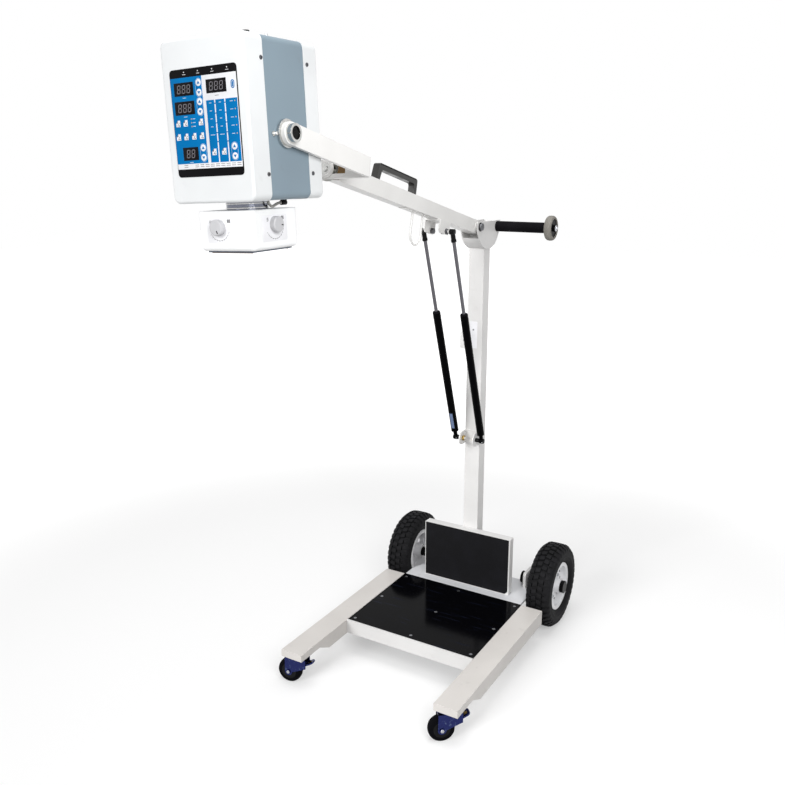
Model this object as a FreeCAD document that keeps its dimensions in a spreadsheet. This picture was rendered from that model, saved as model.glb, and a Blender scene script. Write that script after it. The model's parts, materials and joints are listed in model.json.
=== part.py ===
import FreeCAD, Part
import math
import os
import re
import Sketcher

# Mobile X-ray unit: a wheeled cart, a column, a spring-balanced arm, a yoke and a tilting head.
#
# The origin is on the floor, below the middle of the whole unit. X runs to the unit's left-right,
# Y runs to the rear and Z runs up. The head hangs at the front, so its panel faces -Y.
#
# Four frames are used. The cart frame is the origin's own. The arm frame sits on the arm's pivot,
# with -Y running out along the arm. The yoke frame sits on the head's axle and follows the arm and
# the yoke's roll. The head frame has the same place, turned upright again.

SIZES = {
    # Rear wheels
    "axle_setback": 525,
    "tyre_diameter": 260,
    "wheel_offset": 41.5,
    "tyre_width": 78,
    "tyre_bulge": 2,
    "tyre_sidewall": 14,
    "tyre_crown": 44,
    "tyre_shoulder": 12,
    "tyre_bead_width": 52,
    "rim_diameter": 148,
    "rim_width": 58,
    "rim_flange": 4,
    "rim_wall": 3,
    "rim_drop": 12,
    "web_inset": 20,
    "web_thickness": 4,
    "web_hole_diameter": 16,
    "web_hole_circle": 84,
    "web_hole_count": 5,
    "hub_diameter": 44,
    "hub_length": 66,
    "axle_diameter": 20,
    "axle_collar": 30,
    "axle_cap_diameter": 38,
    "axle_cap_length": 15,
    "axle_nut_length": 12,
    "bracket_inset": 39.5,
    "bracket_corner": 10,
    "bracket_thickness": 9,
    "bracket_depth": 64,
    "bracket_top": 158,
    "bracket_bottom": 64,
    # Clearances: in a running fit, and between faces that move past each other
    "running_gap": 0.05,
    "face_gap": 0.3,
    # How far one shape of a piece is sunk into the next, and how far a cut runs past a face
    "join_depth": 1,
    "cut_past": 1,
    # Cart frame
    "deck_height": 109.5,
    "frame_wall": 3,
    "rail_inner": 204.5,
    "rail_width": 67.5,
    "rail_height": 44,
    "rail_length": 562.4,
    "rail_rear_gap": 138.6,
    "nose_height": 20.8,
    "nose_length": 87,
    "nose_slope": 45,
    "member_height": 41.5,
    "front_member_depth": 40,
    "front_member_gap": 478.5,
    "front_lip": 5.5,
    "cross_member_depth": 40,
    "mid_member_gap": 305,
    "foot_plate_thickness": 3,
    "foot_plate_side_gap": 1.5,
    "deck_front_gap": 136,
    "deck_corner_gap": 89,
    "deck_rear": 15,
    "deck_side_gap": 3.5,
    "deck_rear_inset": 43.5,
    "deck_thickness": 6,
    "deck_beam_depth": 80,
    "screw_side_gap": 14,
    "screw_row_spacing": 151,
    "screw_rear_gap": 154,
    "screw_shank": 5,
    "screw_length": 9,
    "screw_head": 10,
    "screw_head_height": 1.7,
    "screw_sink": 0.3,
    # Column, pad box and pad
    "column_width": 48,
    "column_depth": 39.9,
    "column_gap": 78.4,
    "column_wall": 3,
    "column_top_drop": 6,
    "foot_flange": 12,
    "foot_flange_thickness": 5,
    "box_half_width": 147,
    "box_depth": 25.3,
    "box_top": 295.5,
    "box_wall": 2,
    "box_corner": 3,
    "pad_margin": 4,
    "pad_thickness": 3,
    "pad_chamfer": 8,
    "weight_thickness": 20,
    # Column head
    "cheek_thickness": 3,
    "cheek_radius": 77,
    "cheek_centre_gap": 56,
    "cheek_centre_height": 1242,
    "cheek_top_rise": 2.4,
    "wrap_wall": 2.5,
    "wrap_front_drop": 42,
    "pivot_forward": 35.2,
    "pivot_drop": 10.4,
    "pivot_bolt": 12,
    "pivot_head": 20,
    "pivot_head_height": 7,
    # Push grip with its end wheel
    "grip_drop": 15,
    "grip_rear": 0.3,
    "grip_rod_diameter": 16,
    "grip_nut": 26,
    "grip_nut_length": 8,
    "grip_diameter": 30,
    "grip_length": 153,
    "end_wheel_gap": 2,
    "end_wheel_diameter": 70,
    "end_wheel_round": 8,
    "end_wheel_width": 22,
    "end_wheel_hub": 52,
    "end_wheel_dish": 3,
    "end_bolt_diameter": 20,
    "end_bolt_length": 7,
    # Arm
    "arm_tilt": 13,
    "arm_length": 705,
    "arm_tail": 25,
    "arm_width": 31.2,
    "arm_height": 36.8,
    "arm_wall": 2.5,
    "arm_boss": 26,
    "arm_flange_thickness": 7,
    "arm_flange_width": 52,
    "arm_flange_height": 40,
    "handle_rear": 352,
    "handle_length": 188,
    "handle_height": 39,
    "handle_width": 17,
    "handle_bar": 13,
    "handle_rake": 8,
    "handle_corner": 6,
    "hook_rear": 291,
    "hook_span": 53,
    "hook_rod": 5.6,
    "hook_drop": 80.6,
    "hook_plate_length": 115,
    "hook_plate_width": 20,
    "hook_plate_thickness": 2,
    # Gas springs and their brackets
    "strut_side": 43,
    "socket_width": 13,
    "socket_diameter": 14,
    "strut_foot_forward": 25.6,
    "strut_foot_height": 597,
    "strut_head_reach": 200,
    "strut_head_drop": 45,
    "strut_neck": 12,
    "strut_neck_length": 24,
    "strut_tube_diameter": 22,
    "strut_tube_bore": 19,
    "strut_tube_length": 403,
    "strut_end_wall": 8,
    "strut_rod_diameter": 10,
    "strut_rod_hidden": 220,
    "piston_length": 12,
    "strut_fitting_length": 26,
    "strut_pin": 8,
    "strut_nut": 13.6,
    "strut_stud_head": 11.2,
    "ear_outer": 24,
    "ear_thickness": 4,
    "ear_half_height": 20,
    "upper_ear_front": 38,
    "upper_ear_rear": 20,
    "upper_ear_drop": 34,
    "upper_ear_bevel": 8,
    "upper_plate_thickness": 4,
    # Swivel between arm and yoke
    "friction_thickness": 3.8,
    "friction_half_width": 52,
    "friction_height": 28,
    "washer_diameter": 48,
    "washer_thickness": 2,
    "swivel_shaft_diameter": 20.8,
    "swivel_nut_diameter": 25.8,
    "swivel_nut_length": 5,
    "swivel_end_diameter": 13,
    "swivel_end_length": 3,
    "swivel_inner_nut_rise": 1.5,
    # Yoke
    "yoke_roll": 2.4,
    "yoke_reach": 989,
    "yoke_half_width": 107,
    "yoke_thickness": 8,
    "yoke_height": 40,
    "yoke_corner": 7,
    "window_half_width": 48,
    "window_height": 21,
    "hub_ring_outer": 38,
    "hub_ring_length": 6,
    "bushing_flange": 50,
    "bushing_outer": 33,
    "bushing_bore": 24,
    "bushing_end": 118,
    # Head
    "head_width": 189,
    "head_depth": 206,
    "head_height": 277,
    "head_axle_depth": 98,
    "head_axle_height": 115,
    "front_shell_depth": 48,
    "band_depth": 115.6,
    "band_inset": 1,
    "shell_wall": 2.5,
    "head_corner": 13,
    "head_edge": 5,
    "top_fitting_side": 72,
    "top_cap_depth": 35,
    "top_cap_diameter": 13,
    "top_cap_height": 4,
    "top_stud_depth": 90,
    "top_stud_diameter": 5,
    "top_stud_height": 6,
    "panel_half_width": 76,
    "panel_bottom": 46,
    "panel_height": 181,
    "panel_thickness": 1.2,
    "panel_corner": 6,
    "trunnion_flange": 60,
    "trunnion_flange_thickness": 4,
    "trunnion_length": 14,
    "trunnion_bore": 16,
    "tank_half_width": 60,
    "tank_depth": 100,
    "tank_height": 150,
    # Collimator
    "collimator_width": 129.2,
    "collimator_depth": 133.5,
    "collimator_height": 72,
    "collimator_front": 24.5,
    "collimator_corner": 10,
    "collimator_edge": 8,
    "collimator_wall": 2.5,
    "collimator_floor": 6,
    "neck_diameter": 77,
    "neck_length": 14.6,
    "beam_diameter": 50,
    "shelf_thickness": 2,
    "shelf_rise": 24,
    "aperture": 66,
    "window_plate": 92,
    "blade_length": 34,
    "blade_width": 74,
    "blade_thickness": 2,
    "blade_half_gap": 20,
    "knob_diameter": 29,
    "knob_length": 11,
    "knob_edge": 1.5,
    "knob_shaft": 6,
    "knob_shaft_length": 14,
    "front_knob_side": 13.5,
    "front_knob_drop": 43.7,
    "side_knob_depth": 86.5,
    "side_knob_drop": 42,
    "gland_side": 34,
    "gland_depth": 149,
    "gland_length": 14,
    "gland_foot": 7,
    "gland_diameter": 9,
    "gland_drop": 5.5,
    "cable_diameter": 5,
    # Front casters
    "kingpin_inset": 33,
    "caster_plate": 60,
    "caster_plate_thickness": 4,
    "caster_plate_corner": 6,
    "race_diameter": 44,
    "race_height": 5,
    "kingpin_diameter": 12,
    "kingpin_nut": 18,
    "kingpin_nut_height": 5,
    "caster_wheel_diameter": 70,
    "caster_wheel_width": 24,
    "caster_tread": 7,
    "caster_trail": 26,
    "caster_axle": 8,
    "caster_rivet": 13,
    "caster_rivet_height": 2.5,
    "fork_inner_half": 13,
    "fork_thickness": 2.5,
    "fork_crown_thickness": 3,
    "fork_crown_half": 24,
    "fork_end_radius": 11,
    "fork_tail": 27,
    "fork_tail_drop": 26,
    "fork_nose": 10,
    "pedal_back": 20,
    "pedal_height": 60,
    "pedal_length": 30,
    "pedal_thickness": 4,
    "pedal_rise": 28,
    "pedal_corner": 9,
    "pedal_slot": 12,
    "pedal_rim": 6,
    "pedal_barrel": 10,
    "pedal_pin": 5,
    "right_yaw": -140,
    "left_yaw": -170,
}

# Points of the short cable's route under the head, in the head's own width, depth and height:
# from the gland forward and down, then up into the head's underside.
CABLE_ROUTE = (
    (34.0, 148.6, -5.5),
    (35.0, 138.0, -6.0),
    (37.5, 126.0, -8.8),
    (41.0, 114.5, -11.2),
    (44.0, 104.0, -9.6),
    (45.5, 97.0, -4.6),
    (46.0, 95.5, 0.0),
)
CABLE_ARC_SHARE = 0.45

UPRIGHT = "placement(vector(0; 0; 0); rotation(vector(0; 0; 1); 0))"
PLANES = {"X": "YZ_Plane", "Y": "XZ_Plane", "Z": "XY_Plane"}

document = FreeCAD.newDocument("MobileXrayUnit")
sheet = document.addObject("Spreadsheet::Sheet", "Sizes")
pieces = []


def fill_sheet():
    """Write each size as a plain number beside its name, and name the cell."""
    for row, (name, size) in enumerate(SIZES.items(), start=1):
        sheet.set(f"A{row}", name)
        sheet.set(f"B{row}", str(size))
        sheet.setAlias(f"B{row}", name)
    document.recompute()


def tied(text):
    """Point each size name in an expression at its cell."""
    return re.sub(
        r"[a-z_]+", lambda word: "Sizes." + word[0] if word[0] in SIZES else word[0], str(text)
    )


def value(text):
    """Work an expression out from the sheet as a number."""
    found = sheet.evalExpression(tied(text))
    return float(getattr(found, "Value", found))


# ---------------------------------------------------------------- places


def place(x=0, y=0, z=0, axis="0; 0; 1", angle=0, on=""):
    """Return a placement expression, joined to the placement that it is given on."""
    own = f"placement(vector({x}; {y}; {z}); rotation(vector({axis}); {angle}))"
    return f"{on} * {own}" if on else own


ALONG_X = "1; 0; 0"
ALONG_Z = "0; 0; 1"

AXLE_Y = "axle_setback"
AXLE_Z = "tyre_diameter / 2"
COLUMN_FRONT = "(axle_setback - column_gap)"
COLUMN_BACK = "(axle_setback - column_gap + column_depth)"
PIVOT_Y = "(axle_setback - column_gap - pivot_forward)"
CHEEK_Y = "(axle_setback - cheek_centre_gap)"
CHEEK_OUTER = "(column_width / 2 + cheek_thickness)"
GRIP_Y = "(axle_setback + grip_rear)"
FOOT_PLATE_TOP = "deck_height"
MEMBER_TOP = "(deck_height - foot_plate_thickness)"

PIVOT_Z = "(cheek_centre_height - pivot_drop)"
GRIP_Z = "(cheek_centre_height - grip_drop)"
ARM = place(y=PIVOT_Y, z=PIVOT_Z, axis=ALONG_X, angle="-arm_tilt")
YOKE = place(y="-yoke_reach", axis="0; -1; 0", angle="yoke_roll", on=ARM)
HEAD = place(axis=ALONG_X, angle="arm_tilt", on=YOKE)

# The gas spring's two ends in the cart's mid-plane give its length and its lean.
STRUT_FOOT_Y = f"({COLUMN_FRONT} - strut_foot_forward)"
STRUT_HEAD_Y = f"({PIVOT_Y} - strut_head_reach * cos(arm_tilt) - strut_head_drop * sin(arm_tilt))"
STRUT_HEAD_Z = f"({PIVOT_Z} + strut_head_reach * sin(arm_tilt) - strut_head_drop * cos(arm_tilt))"
STRUT_RUN = f"({STRUT_FOOT_Y} - {STRUT_HEAD_Y})"
STRUT_RISE = f"({STRUT_HEAD_Z} - strut_foot_height)"
STRUT_LENGTH = f"sqrt(({STRUT_RUN})^2 + ({STRUT_RISE})^2)"
STRUT_LEAN = f"atan2({STRUT_RUN}; {STRUT_RISE})"

# Stations along the arm, measured from its pivot.
FLANGE_FACE = "(arm_length + arm_flange_thickness)"
WASHER_FACE = f"({FLANGE_FACE} + friction_thickness + washer_thickness)"
YOKE_BACK = f"({WASHER_FACE} + 2 * face_gap / 3)"
YOKE_FRONT = f"({YOKE_BACK} + yoke_thickness)"

# Heights and depths in the head frame, whose origin is on the head's axle.
HEAD_FRONT = "(-head_axle_depth)"
FRONT_SEAM = "(front_shell_depth - head_axle_depth)"
REAR_SEAM = "(front_shell_depth + band_depth - head_axle_depth)"
HEAD_BACK = "(head_depth - head_axle_depth)"
HEAD_BOTTOM = "(-head_axle_height)"
HEAD_TOP = "(head_height - head_axle_height)"
BOX_FRONT = "(collimator_front - head_axle_depth)"
BOX_BACK = "(collimator_front + collimator_depth - head_axle_depth)"
BOX_TOP = "(-head_axle_height - neck_length)"
BOX_BOTTOM = "(-head_axle_height - neck_length - collimator_height)"
BEAM_Y = f"(({BOX_FRONT} + {BOX_BACK}) / 2)"
SHELF_TOP = f"({BOX_BOTTOM} + shelf_rise)"

# Heights of the caster's stack, from the rail's thin nose down.
NOSE_UNDERSIDE = "(deck_height - nose_height)"
RACE_BOTTOM = f"({NOSE_UNDERSIDE} - caster_plate_thickness - race_height)"
CROWN_TOP = f"({RACE_BOTTOM} - face_gap)"
CROWN_BOTTOM = f"({CROWN_TOP} - fork_crown_thickness)"
KINGPIN_Y = "(axle_setback - rail_rear_gap - rail_length + kingpin_inset)"
RAIL_CENTRE = "(rail_inner + rail_width / 2)"

# Half widths across the cart, all worked out from the rails' inner faces.
WHEEL_CENTRE = "(rail_inner + wheel_offset)"
BRACKET_INNER = "(rail_inner - bracket_inset)"
FOOT_PLATE_HALF = "(rail_inner - foot_plate_side_gap)"
DECK_HALF = "(rail_inner - deck_side_gap)"
DECK_REAR_HALF = "(rail_inner - deck_rear_inset)"
SCREW_COLUMN = f"({FOOT_PLATE_HALF} - screw_side_gap)"


# ---------------------------------------------------------------- drawing helpers


def new_piece(label, placement=UPRIGHT):
    """Start a sub-part: a body with its own label, at its own place."""
    body = document.addObject("PartDesign::Body", label)
    body.Label = label
    body.setExpression("Placement", tied(placement))
    pieces.append(body)
    return body


def sketch_on(body, name, axis, at, loops):
    """Draw closed loops on the plane square to an axis, at a station along that axis."""
    sketch = body.newObject("Sketcher::SketchObject", name)
    for plane in body.Origin.OriginFeatures:
        if plane.Role == PLANES[axis]:
            sketch.AttachmentSupport = [(plane, "")]
    sketch.MapMode = "FlatFace"
    side = "-1" if axis == "Y" else "1"
    sketch.setExpression("AttachmentOffset.Base.z", tied(f"{side} * ({at})"))
    for draw in loops:
        draw(sketch)
    return sketch


def pin_point(sketch, shape, point, x, y):
    """Tie a point of a sketch to its two distances from the sketch's origin."""
    for kind, text in (("DistanceX", x), ("DistanceY", y)):
        index = sketch.addConstraint(Sketcher.Constraint(kind, -1, 1, shape, point, value(text)))
        sketch.setExpression(f"Constraints[{index}]", tied(text))


def outline(*points):
    """Return a loop of straight sides through the given points."""

    def draw(sketch):
        ends = [FreeCAD.Vector(value(x), value(y), 0) for x, y in points]
        first = sketch.GeometryCount
        count = len(ends)
        for index in range(count):
            sketch.addGeometry(Part.LineSegment(ends[index], ends[(index + 1) % count]), False)
        for index in range(count):
            joint = ("Coincident", first + index, 2, first + (index + 1) % count, 1)
            sketch.addConstraint(Sketcher.Constraint(*joint))
        for index, (x, y) in enumerate(points):
            pin_point(sketch, first + index, 1, x, y)

    return draw


def rectangle(left, bottom, right, top):
    """Return a loop with four square corners."""
    return outline((left, bottom), (right, bottom), (right, top), (left, top))


def circle(x, y, diameter):
    """Return a round loop."""

    def draw(sketch):
        centre = FreeCAD.Vector(value(x), value(y), 0)
        shape = sketch.addGeometry(
            Part.Circle(centre, FreeCAD.Vector(0, 0, 1), value(diameter) / 2), False
        )
        index = sketch.addConstraint(Sketcher.Constraint("Diameter", shape, value(diameter)))
        sketch.setExpression(f"Constraints[{index}]", tied(diameter))
        pin_point(sketch, shape, 3, x, y)

    return draw


def rounded_rectangle(left, bottom, right, top, radius):
    """Return a loop with four round corners, each tangent to its two sides."""
    corners = (
        (f"({right}) - ({radius})", f"({bottom}) + ({radius})", -0.5),
        (f"({right}) - ({radius})", f"({top}) - ({radius})", 0.0),
        (f"({left}) + ({radius})", f"({top}) - ({radius})", 0.5),
        (f"({left}) + ({radius})", f"({bottom}) + ({radius})", 1.0),
    )

    def draw(sketch):
        size = value(radius)
        arcs = []
        for x, y, turn in corners:
            centre = FreeCAD.Vector(value(x), value(y), 0)
            round_one = Part.Circle(centre, FreeCAD.Vector(0, 0, 1), size)
            start = turn * math.pi
            arc = Part.ArcOfCircle(round_one, start, start + math.pi / 2)
            arcs.append((sketch.addGeometry(arc, False), arc, x, y))
        for index, (shape, arc, _x, _y) in enumerate(arcs):
            next_shape, next_arc = arcs[(index + 1) % 4][:2]
            side = sketch.addGeometry(Part.LineSegment(arc.EndPoint, next_arc.StartPoint), False)
            sketch.addConstraint(Sketcher.Constraint("Tangent", shape, 2, side, 1))
            sketch.addConstraint(Sketcher.Constraint("Tangent", side, 2, next_shape, 1))
        for shape, _arc, x, y in arcs:
            pin_point(sketch, shape, 3, x, y)
            index = sketch.addConstraint(Sketcher.Constraint("Radius", shape, size))
            sketch.setExpression(f"Constraints[{index}]", tied(radius))

    return draw


def extrude(body, name, axis, loops, start, end):
    """Add a slab with the given section, from one station along the axis to the next."""
    pad = body.newObject("PartDesign::Pad", name)
    pad.Profile = sketch_on(body, name + "Section", axis, start, loops)
    pad.setExpression("Length", tied(f"({end}) - ({start})"))
    pad.Reversed = axis == "Y"
    document.recompute()
    body.Tip = pad
    return pad


def hollow(body, name, axis, loops, start, end):
    """Cut a slab away, from one station along the axis to the next, and see that it cut."""
    before = body.Shape.Volume
    pocket = body.newObject("PartDesign::Pocket", name)
    pocket.Profile = sketch_on(body, name + "Section", axis, start, loops)
    pocket.setExpression("Length", tied(f"({end}) - ({start})"))
    pocket.Reversed = axis != "Y"
    document.recompute()
    body.Tip = pocket
    if body.Shape.Volume > before - 0.01:
        raise ValueError(f"{body.Label}: {name} cut nothing")
    return pocket


def turn(body, name, axis, points):
    """Add a solid of revolution about an axis, from points of (station, radius)."""
    plane = {"X": "Z", "Y": "X", "Z": "Y"}[axis]
    if axis == "Z":
        points = [(radius, station) for station, radius in points]
    ring = body.newObject("PartDesign::Revolution", name)
    section = sketch_on(body, name + "Section", plane, 0, [outline(*points)])
    ring.Profile = section
    ring.ReferenceAxis = (section, ["V_Axis" if axis == "Z" else "H_Axis"])
    ring.Angle = 360
    document.recompute()
    body.Tip = ring
    return ring


def soften(body, name, radius, wanted):
    """Round the edges that a test picks."""
    base = body.Tip
    names = [f"Edge{i}" for i, edge in enumerate(base.Shape.Edges, start=1) if wanted(edge)]
    fillet = body.newObject("PartDesign::Fillet", name)
    fillet.Base = (base, names)
    fillet.setExpression("Radius", tied(radius))
    document.recompute()
    body.Tip = fillet
    return fillet


def lies_at(axis, station):
    """Return a test for edges that lie whole at one station along an axis."""
    low, high = {"X": ("XMin", "XMax"), "Y": ("YMin", "YMax"), "Z": ("ZMin", "ZMax")}[axis]

    def test(edge):
        box = edge.BoundBox
        at = value(station)
        return abs(getattr(box, low) - at) < 0.01 and abs(getattr(box, high) - at) < 0.01

    return test


def runs_along(axis):
    """Return a test for straight edges parallel to an axis."""
    way = {"X": (1, 0, 0), "Y": (0, 1, 0), "Z": (0, 0, 1)}[axis]

    def test(edge):
        if not isinstance(edge.Curve, Part.Line):
            return False
        return abs(edge.Curve.Direction.dot(FreeCAD.Vector(*way))) > 0.999

    return test


def both(*tests):
    """Return a test that wants every one of the given tests."""
    return lambda edge: all(test(edge) for test in tests)


def mirror(body, name, features, role="YZ_Plane"):
    """Repeat features on the other side of one of the body's own planes."""
    copy = body.newObject("PartDesign::Mirrored", name)
    copy.Originals = features
    for plane in body.Origin.OriginFeatures:
        if plane.Role == role:
            copy.MirrorPlane = (plane, [""])
    body.Tip = copy
    document.recompute()
    return copy


# ---------------------------------------------------------------- rear wheels


def build_tyre(side, placement):
    body = new_piece(f"tyre_{side}", placement)
    bead = "rim_diameter / 2 + running_gap"
    turn(
        body,
        "Carcass",
        "X",
        (
            ("-tyre_bead_width / 2", bead),
            ("tyre_bead_width / 2", bead),
            ("tyre_width / 2 - tyre_bulge", f"({bead}) + tyre_sidewall"),
            ("tyre_width / 2", "tyre_diameter / 2 - 3 * tyre_shoulder"),
            ("tyre_width / 2 - tyre_bulge", "tyre_diameter / 2 - tyre_shoulder"),
            ("tyre_crown / 2", "tyre_diameter / 2"),
            ("-tyre_crown / 2", "tyre_diameter / 2"),
            ("tyre_bulge - tyre_width / 2", "tyre_diameter / 2 - tyre_shoulder"),
            ("-tyre_width / 2", "tyre_diameter / 2 - 3 * tyre_shoulder"),
            ("tyre_bulge - tyre_width / 2", f"({bead}) + tyre_sidewall"),
        ),
    )


def build_rim(side, placement):
    """A pressed rim with an inset web and a hub; its outer face looks along the frame's +X."""
    body = new_piece(f"rim_{side}", placement)
    turn(
        body,
        "Channel",
        "X",
        (
            ("-rim_width / 2", "rim_diameter / 2"),
            ("-rim_width / 2", "rim_diameter / 2 - rim_drop"),
            ("rim_width / 2", "rim_diameter / 2 - rim_drop"),
            ("rim_width / 2", "rim_diameter / 2"),
            ("tyre_bead_width / 2 + rim_flange", "rim_diameter / 2"),
            ("tyre_bead_width / 2 - rim_flange", "rim_diameter / 2"),
            ("tyre_bead_width / 2 - 2 * rim_flange", "rim_diameter / 2 - rim_drop + rim_wall"),
            ("2 * rim_flange - tyre_bead_width / 2", "rim_diameter / 2 - rim_drop + rim_wall"),
            ("rim_flange - tyre_bead_width / 2", "rim_diameter / 2"),
        ),
    )
    web_face = "rim_width / 2 - web_inset"
    turn(
        body,
        "Web",
        "X",
        (
            (f"{web_face} - web_thickness", "hub_diameter / 2 - join_depth"),
            (web_face, "hub_diameter / 2 - join_depth"),
            (web_face, "rim_diameter / 2 - rim_drop + join_depth"),
            (f"{web_face} - web_thickness", "rim_diameter / 2 - rim_drop + join_depth"),
        ),
    )
    turn(
        body,
        "Hub",
        "X",
        (
            ("-hub_length / 2", "axle_diameter / 2 + running_gap"),
            ("hub_length / 2", "axle_diameter / 2 + running_gap"),
            ("hub_length / 2", "hub_diameter / 2"),
            ("-hub_length / 2", "hub_diameter / 2"),
        ),
    )
    hole = hollow(
        body,
        "WebHole",
        "X",
        [circle("0", "web_hole_circle / 2", "web_hole_diameter")],
        f"{web_face} - web_thickness - cut_past",
        f"{web_face} + cut_past",
    )
    ring = body.newObject("PartDesign::PolarPattern", "WebHoles")
    ring.Originals = [hole]
    for line in body.Origin.OriginFeatures:
        if line.Role == "X_Axis":
            ring.Axis = (line, [""])
    ring.Angle = 360
    ring.setExpression("Occurrences", tied("web_hole_count"))
    body.Tip = ring
    document.recompute()


def build_wheel_axles():
    """Two stub axles, each with its inner knob, its spacing collar and its outer nut."""
    body = new_piece("wheel_axles", place(y=AXLE_Y, z=AXLE_Z))
    outer = f"({BRACKET_INNER} + bracket_thickness)"
    hub_start = f"({WHEEL_CENTRE} - hub_length / 2 - face_gap)"
    hub_end = f"({WHEEL_CENTRE} + hub_length / 2 + face_gap)"
    stub = turn(
        body,
        "Stub",
        "X",
        (
            (f"{BRACKET_INNER} - axle_cap_length", "0"),
            (f"{hub_end} + axle_nut_length", "0"),
            (f"{hub_end} + axle_nut_length", "axle_cap_diameter / 2"),
            (hub_end, "axle_cap_diameter / 2"),
            (hub_end, "axle_diameter / 2"),
            (hub_start, "axle_diameter / 2"),
            (hub_start, "axle_collar / 2"),
            (outer, "axle_collar / 2"),
            (outer, "axle_diameter / 2"),
            (BRACKET_INNER, "axle_diameter / 2"),
            (BRACKET_INNER, "axle_cap_diameter / 2"),
            (f"{BRACKET_INNER} - axle_cap_length", "axle_cap_diameter / 2"),
        ),
    )
    mirror(body, "OtherStub", [stub])


def build_axle_brackets():
    """Two upright plates that carry the stub axles beside the rear deck."""
    body = new_piece("axle_brackets", place(y=AXLE_Y))
    plate = extrude(
        body,
        "Plate",
        "X",
        [
            rounded_rectangle(
                "-bracket_depth / 2",
                "bracket_bottom",
                "bracket_depth / 2",
                "bracket_top",
                "bracket_corner",
            ),
            circle("0", AXLE_Z, "axle_diameter + 2 * running_gap"),
        ],
        BRACKET_INNER,
        f"{BRACKET_INNER} + bracket_thickness",
    )
    mirror(body, "OtherPlate", [plate])


# ---------------------------------------------------------------- cart frame


def build_side_rail(side, sign):
    """A closed box rail with a thin nose, drawn from its own rear end forward."""
    base = place(
        x=f"{sign} * (rail_inner + rail_width / 2)", y="axle_setback - rail_rear_gap", z="deck_height"
    )
    body = new_piece(f"side_rail_{side}", base)
    extrude(
        body,
        "Rail",
        "X",
        [
            outline(
                ("-rail_length", "-nose_height"),
                ("nose_length - rail_length", "-nose_height"),
                ("nose_length + nose_slope - rail_length", "-rail_height"),
                ("0", "-rail_height"),
                ("0", "0"),
                ("-rail_length", "0"),
            )
        ],
        "-rail_width / 2",
        "rail_width / 2",
    )
    hollow(
        body,
        "Inside",
        "X",
        [
            outline(
                ("frame_wall - rail_length", "frame_wall - nose_height"),
                ("nose_length - rail_length", "frame_wall - nose_height"),
                ("nose_length + nose_slope - rail_length", "frame_wall - rail_height"),
                ("-frame_wall", "frame_wall - rail_height"),
                ("-frame_wall", "-frame_wall"),
                ("frame_wall - rail_length", "-frame_wall"),
            )
        ],
        "frame_wall - rail_width / 2",
        "rail_width / 2 - frame_wall",
    )
    soften(body, "Edges", "frame_wall / 2", both(runs_along("Y"), lies_at("Z", "0")))


SCREW_ROWS = (
    "(axle_setback - screw_rear_gap)",
    "(axle_setback - screw_rear_gap - screw_row_spacing)",
    "(axle_setback - screw_rear_gap - 2 * screw_row_spacing)",
)
SCREW_COLUMNS = (f"-{SCREW_COLUMN}", "0", SCREW_COLUMN)


def bore_screw_holes(body):
    """Bore the foot plate's screw holes down through the beams' upper walls."""
    holes = [
        circle(x, f"{row} - axle_setback", "screw_shank + 2 * running_gap")
        for row in SCREW_ROWS
        for x in SCREW_COLUMNS
    ]
    hollow(body, "ScrewHoles", "Z", holes, "-frame_wall - cut_past", "0")


def build_cross_members():
    """Three box beams between the rails: the front one has a rebate for the foot plate's edge."""
    body = new_piece("cross_members", place(y="axle_setback", z=MEMBER_TOP))
    height = "(member_height - foot_plate_thickness)"
    rears = ("(cross_member_depth / 2 - mid_member_gap)", "(-deck_front_gap)")
    for number, rear in enumerate(rears, start=1):
        front = f"({rear} - cross_member_depth)"
        beam = [rectangle(front, f"-{height}", rear, "0")]
        extrude(body, f"Beam{number}", "X", beam, "-rail_inner", "rail_inner")
        inner = rectangle(
            f"{front} + frame_wall", f"frame_wall - {height}", f"{rear} - frame_wall", "-frame_wall"
        )
        hollow(body, f"Inside{number}", "X", [inner], "frame_wall - rail_inner", "rail_inner - frame_wall")
    front = "(-front_member_gap)"
    rear = f"({front} + front_member_depth)"
    rebate = f"({front} + front_lip)"
    rebated = outline(
        (front, f"-{height}"),
        (rear, f"-{height}"),
        (rear, "0"),
        (rebate, "0"),
        (rebate, "foot_plate_thickness"),
        (front, "foot_plate_thickness"),
    )
    extrude(body, "FrontBeam", "X", [rebated], "-rail_inner", "rail_inner")
    inner = rectangle(
        f"{front} + frame_wall", f"frame_wall - {height}", f"{rear} - frame_wall", "-frame_wall"
    )
    hollow(body, "FrontInside", "X", [inner], "frame_wall - rail_inner", "rail_inner - frame_wall")
    bore_screw_holes(body)


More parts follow.
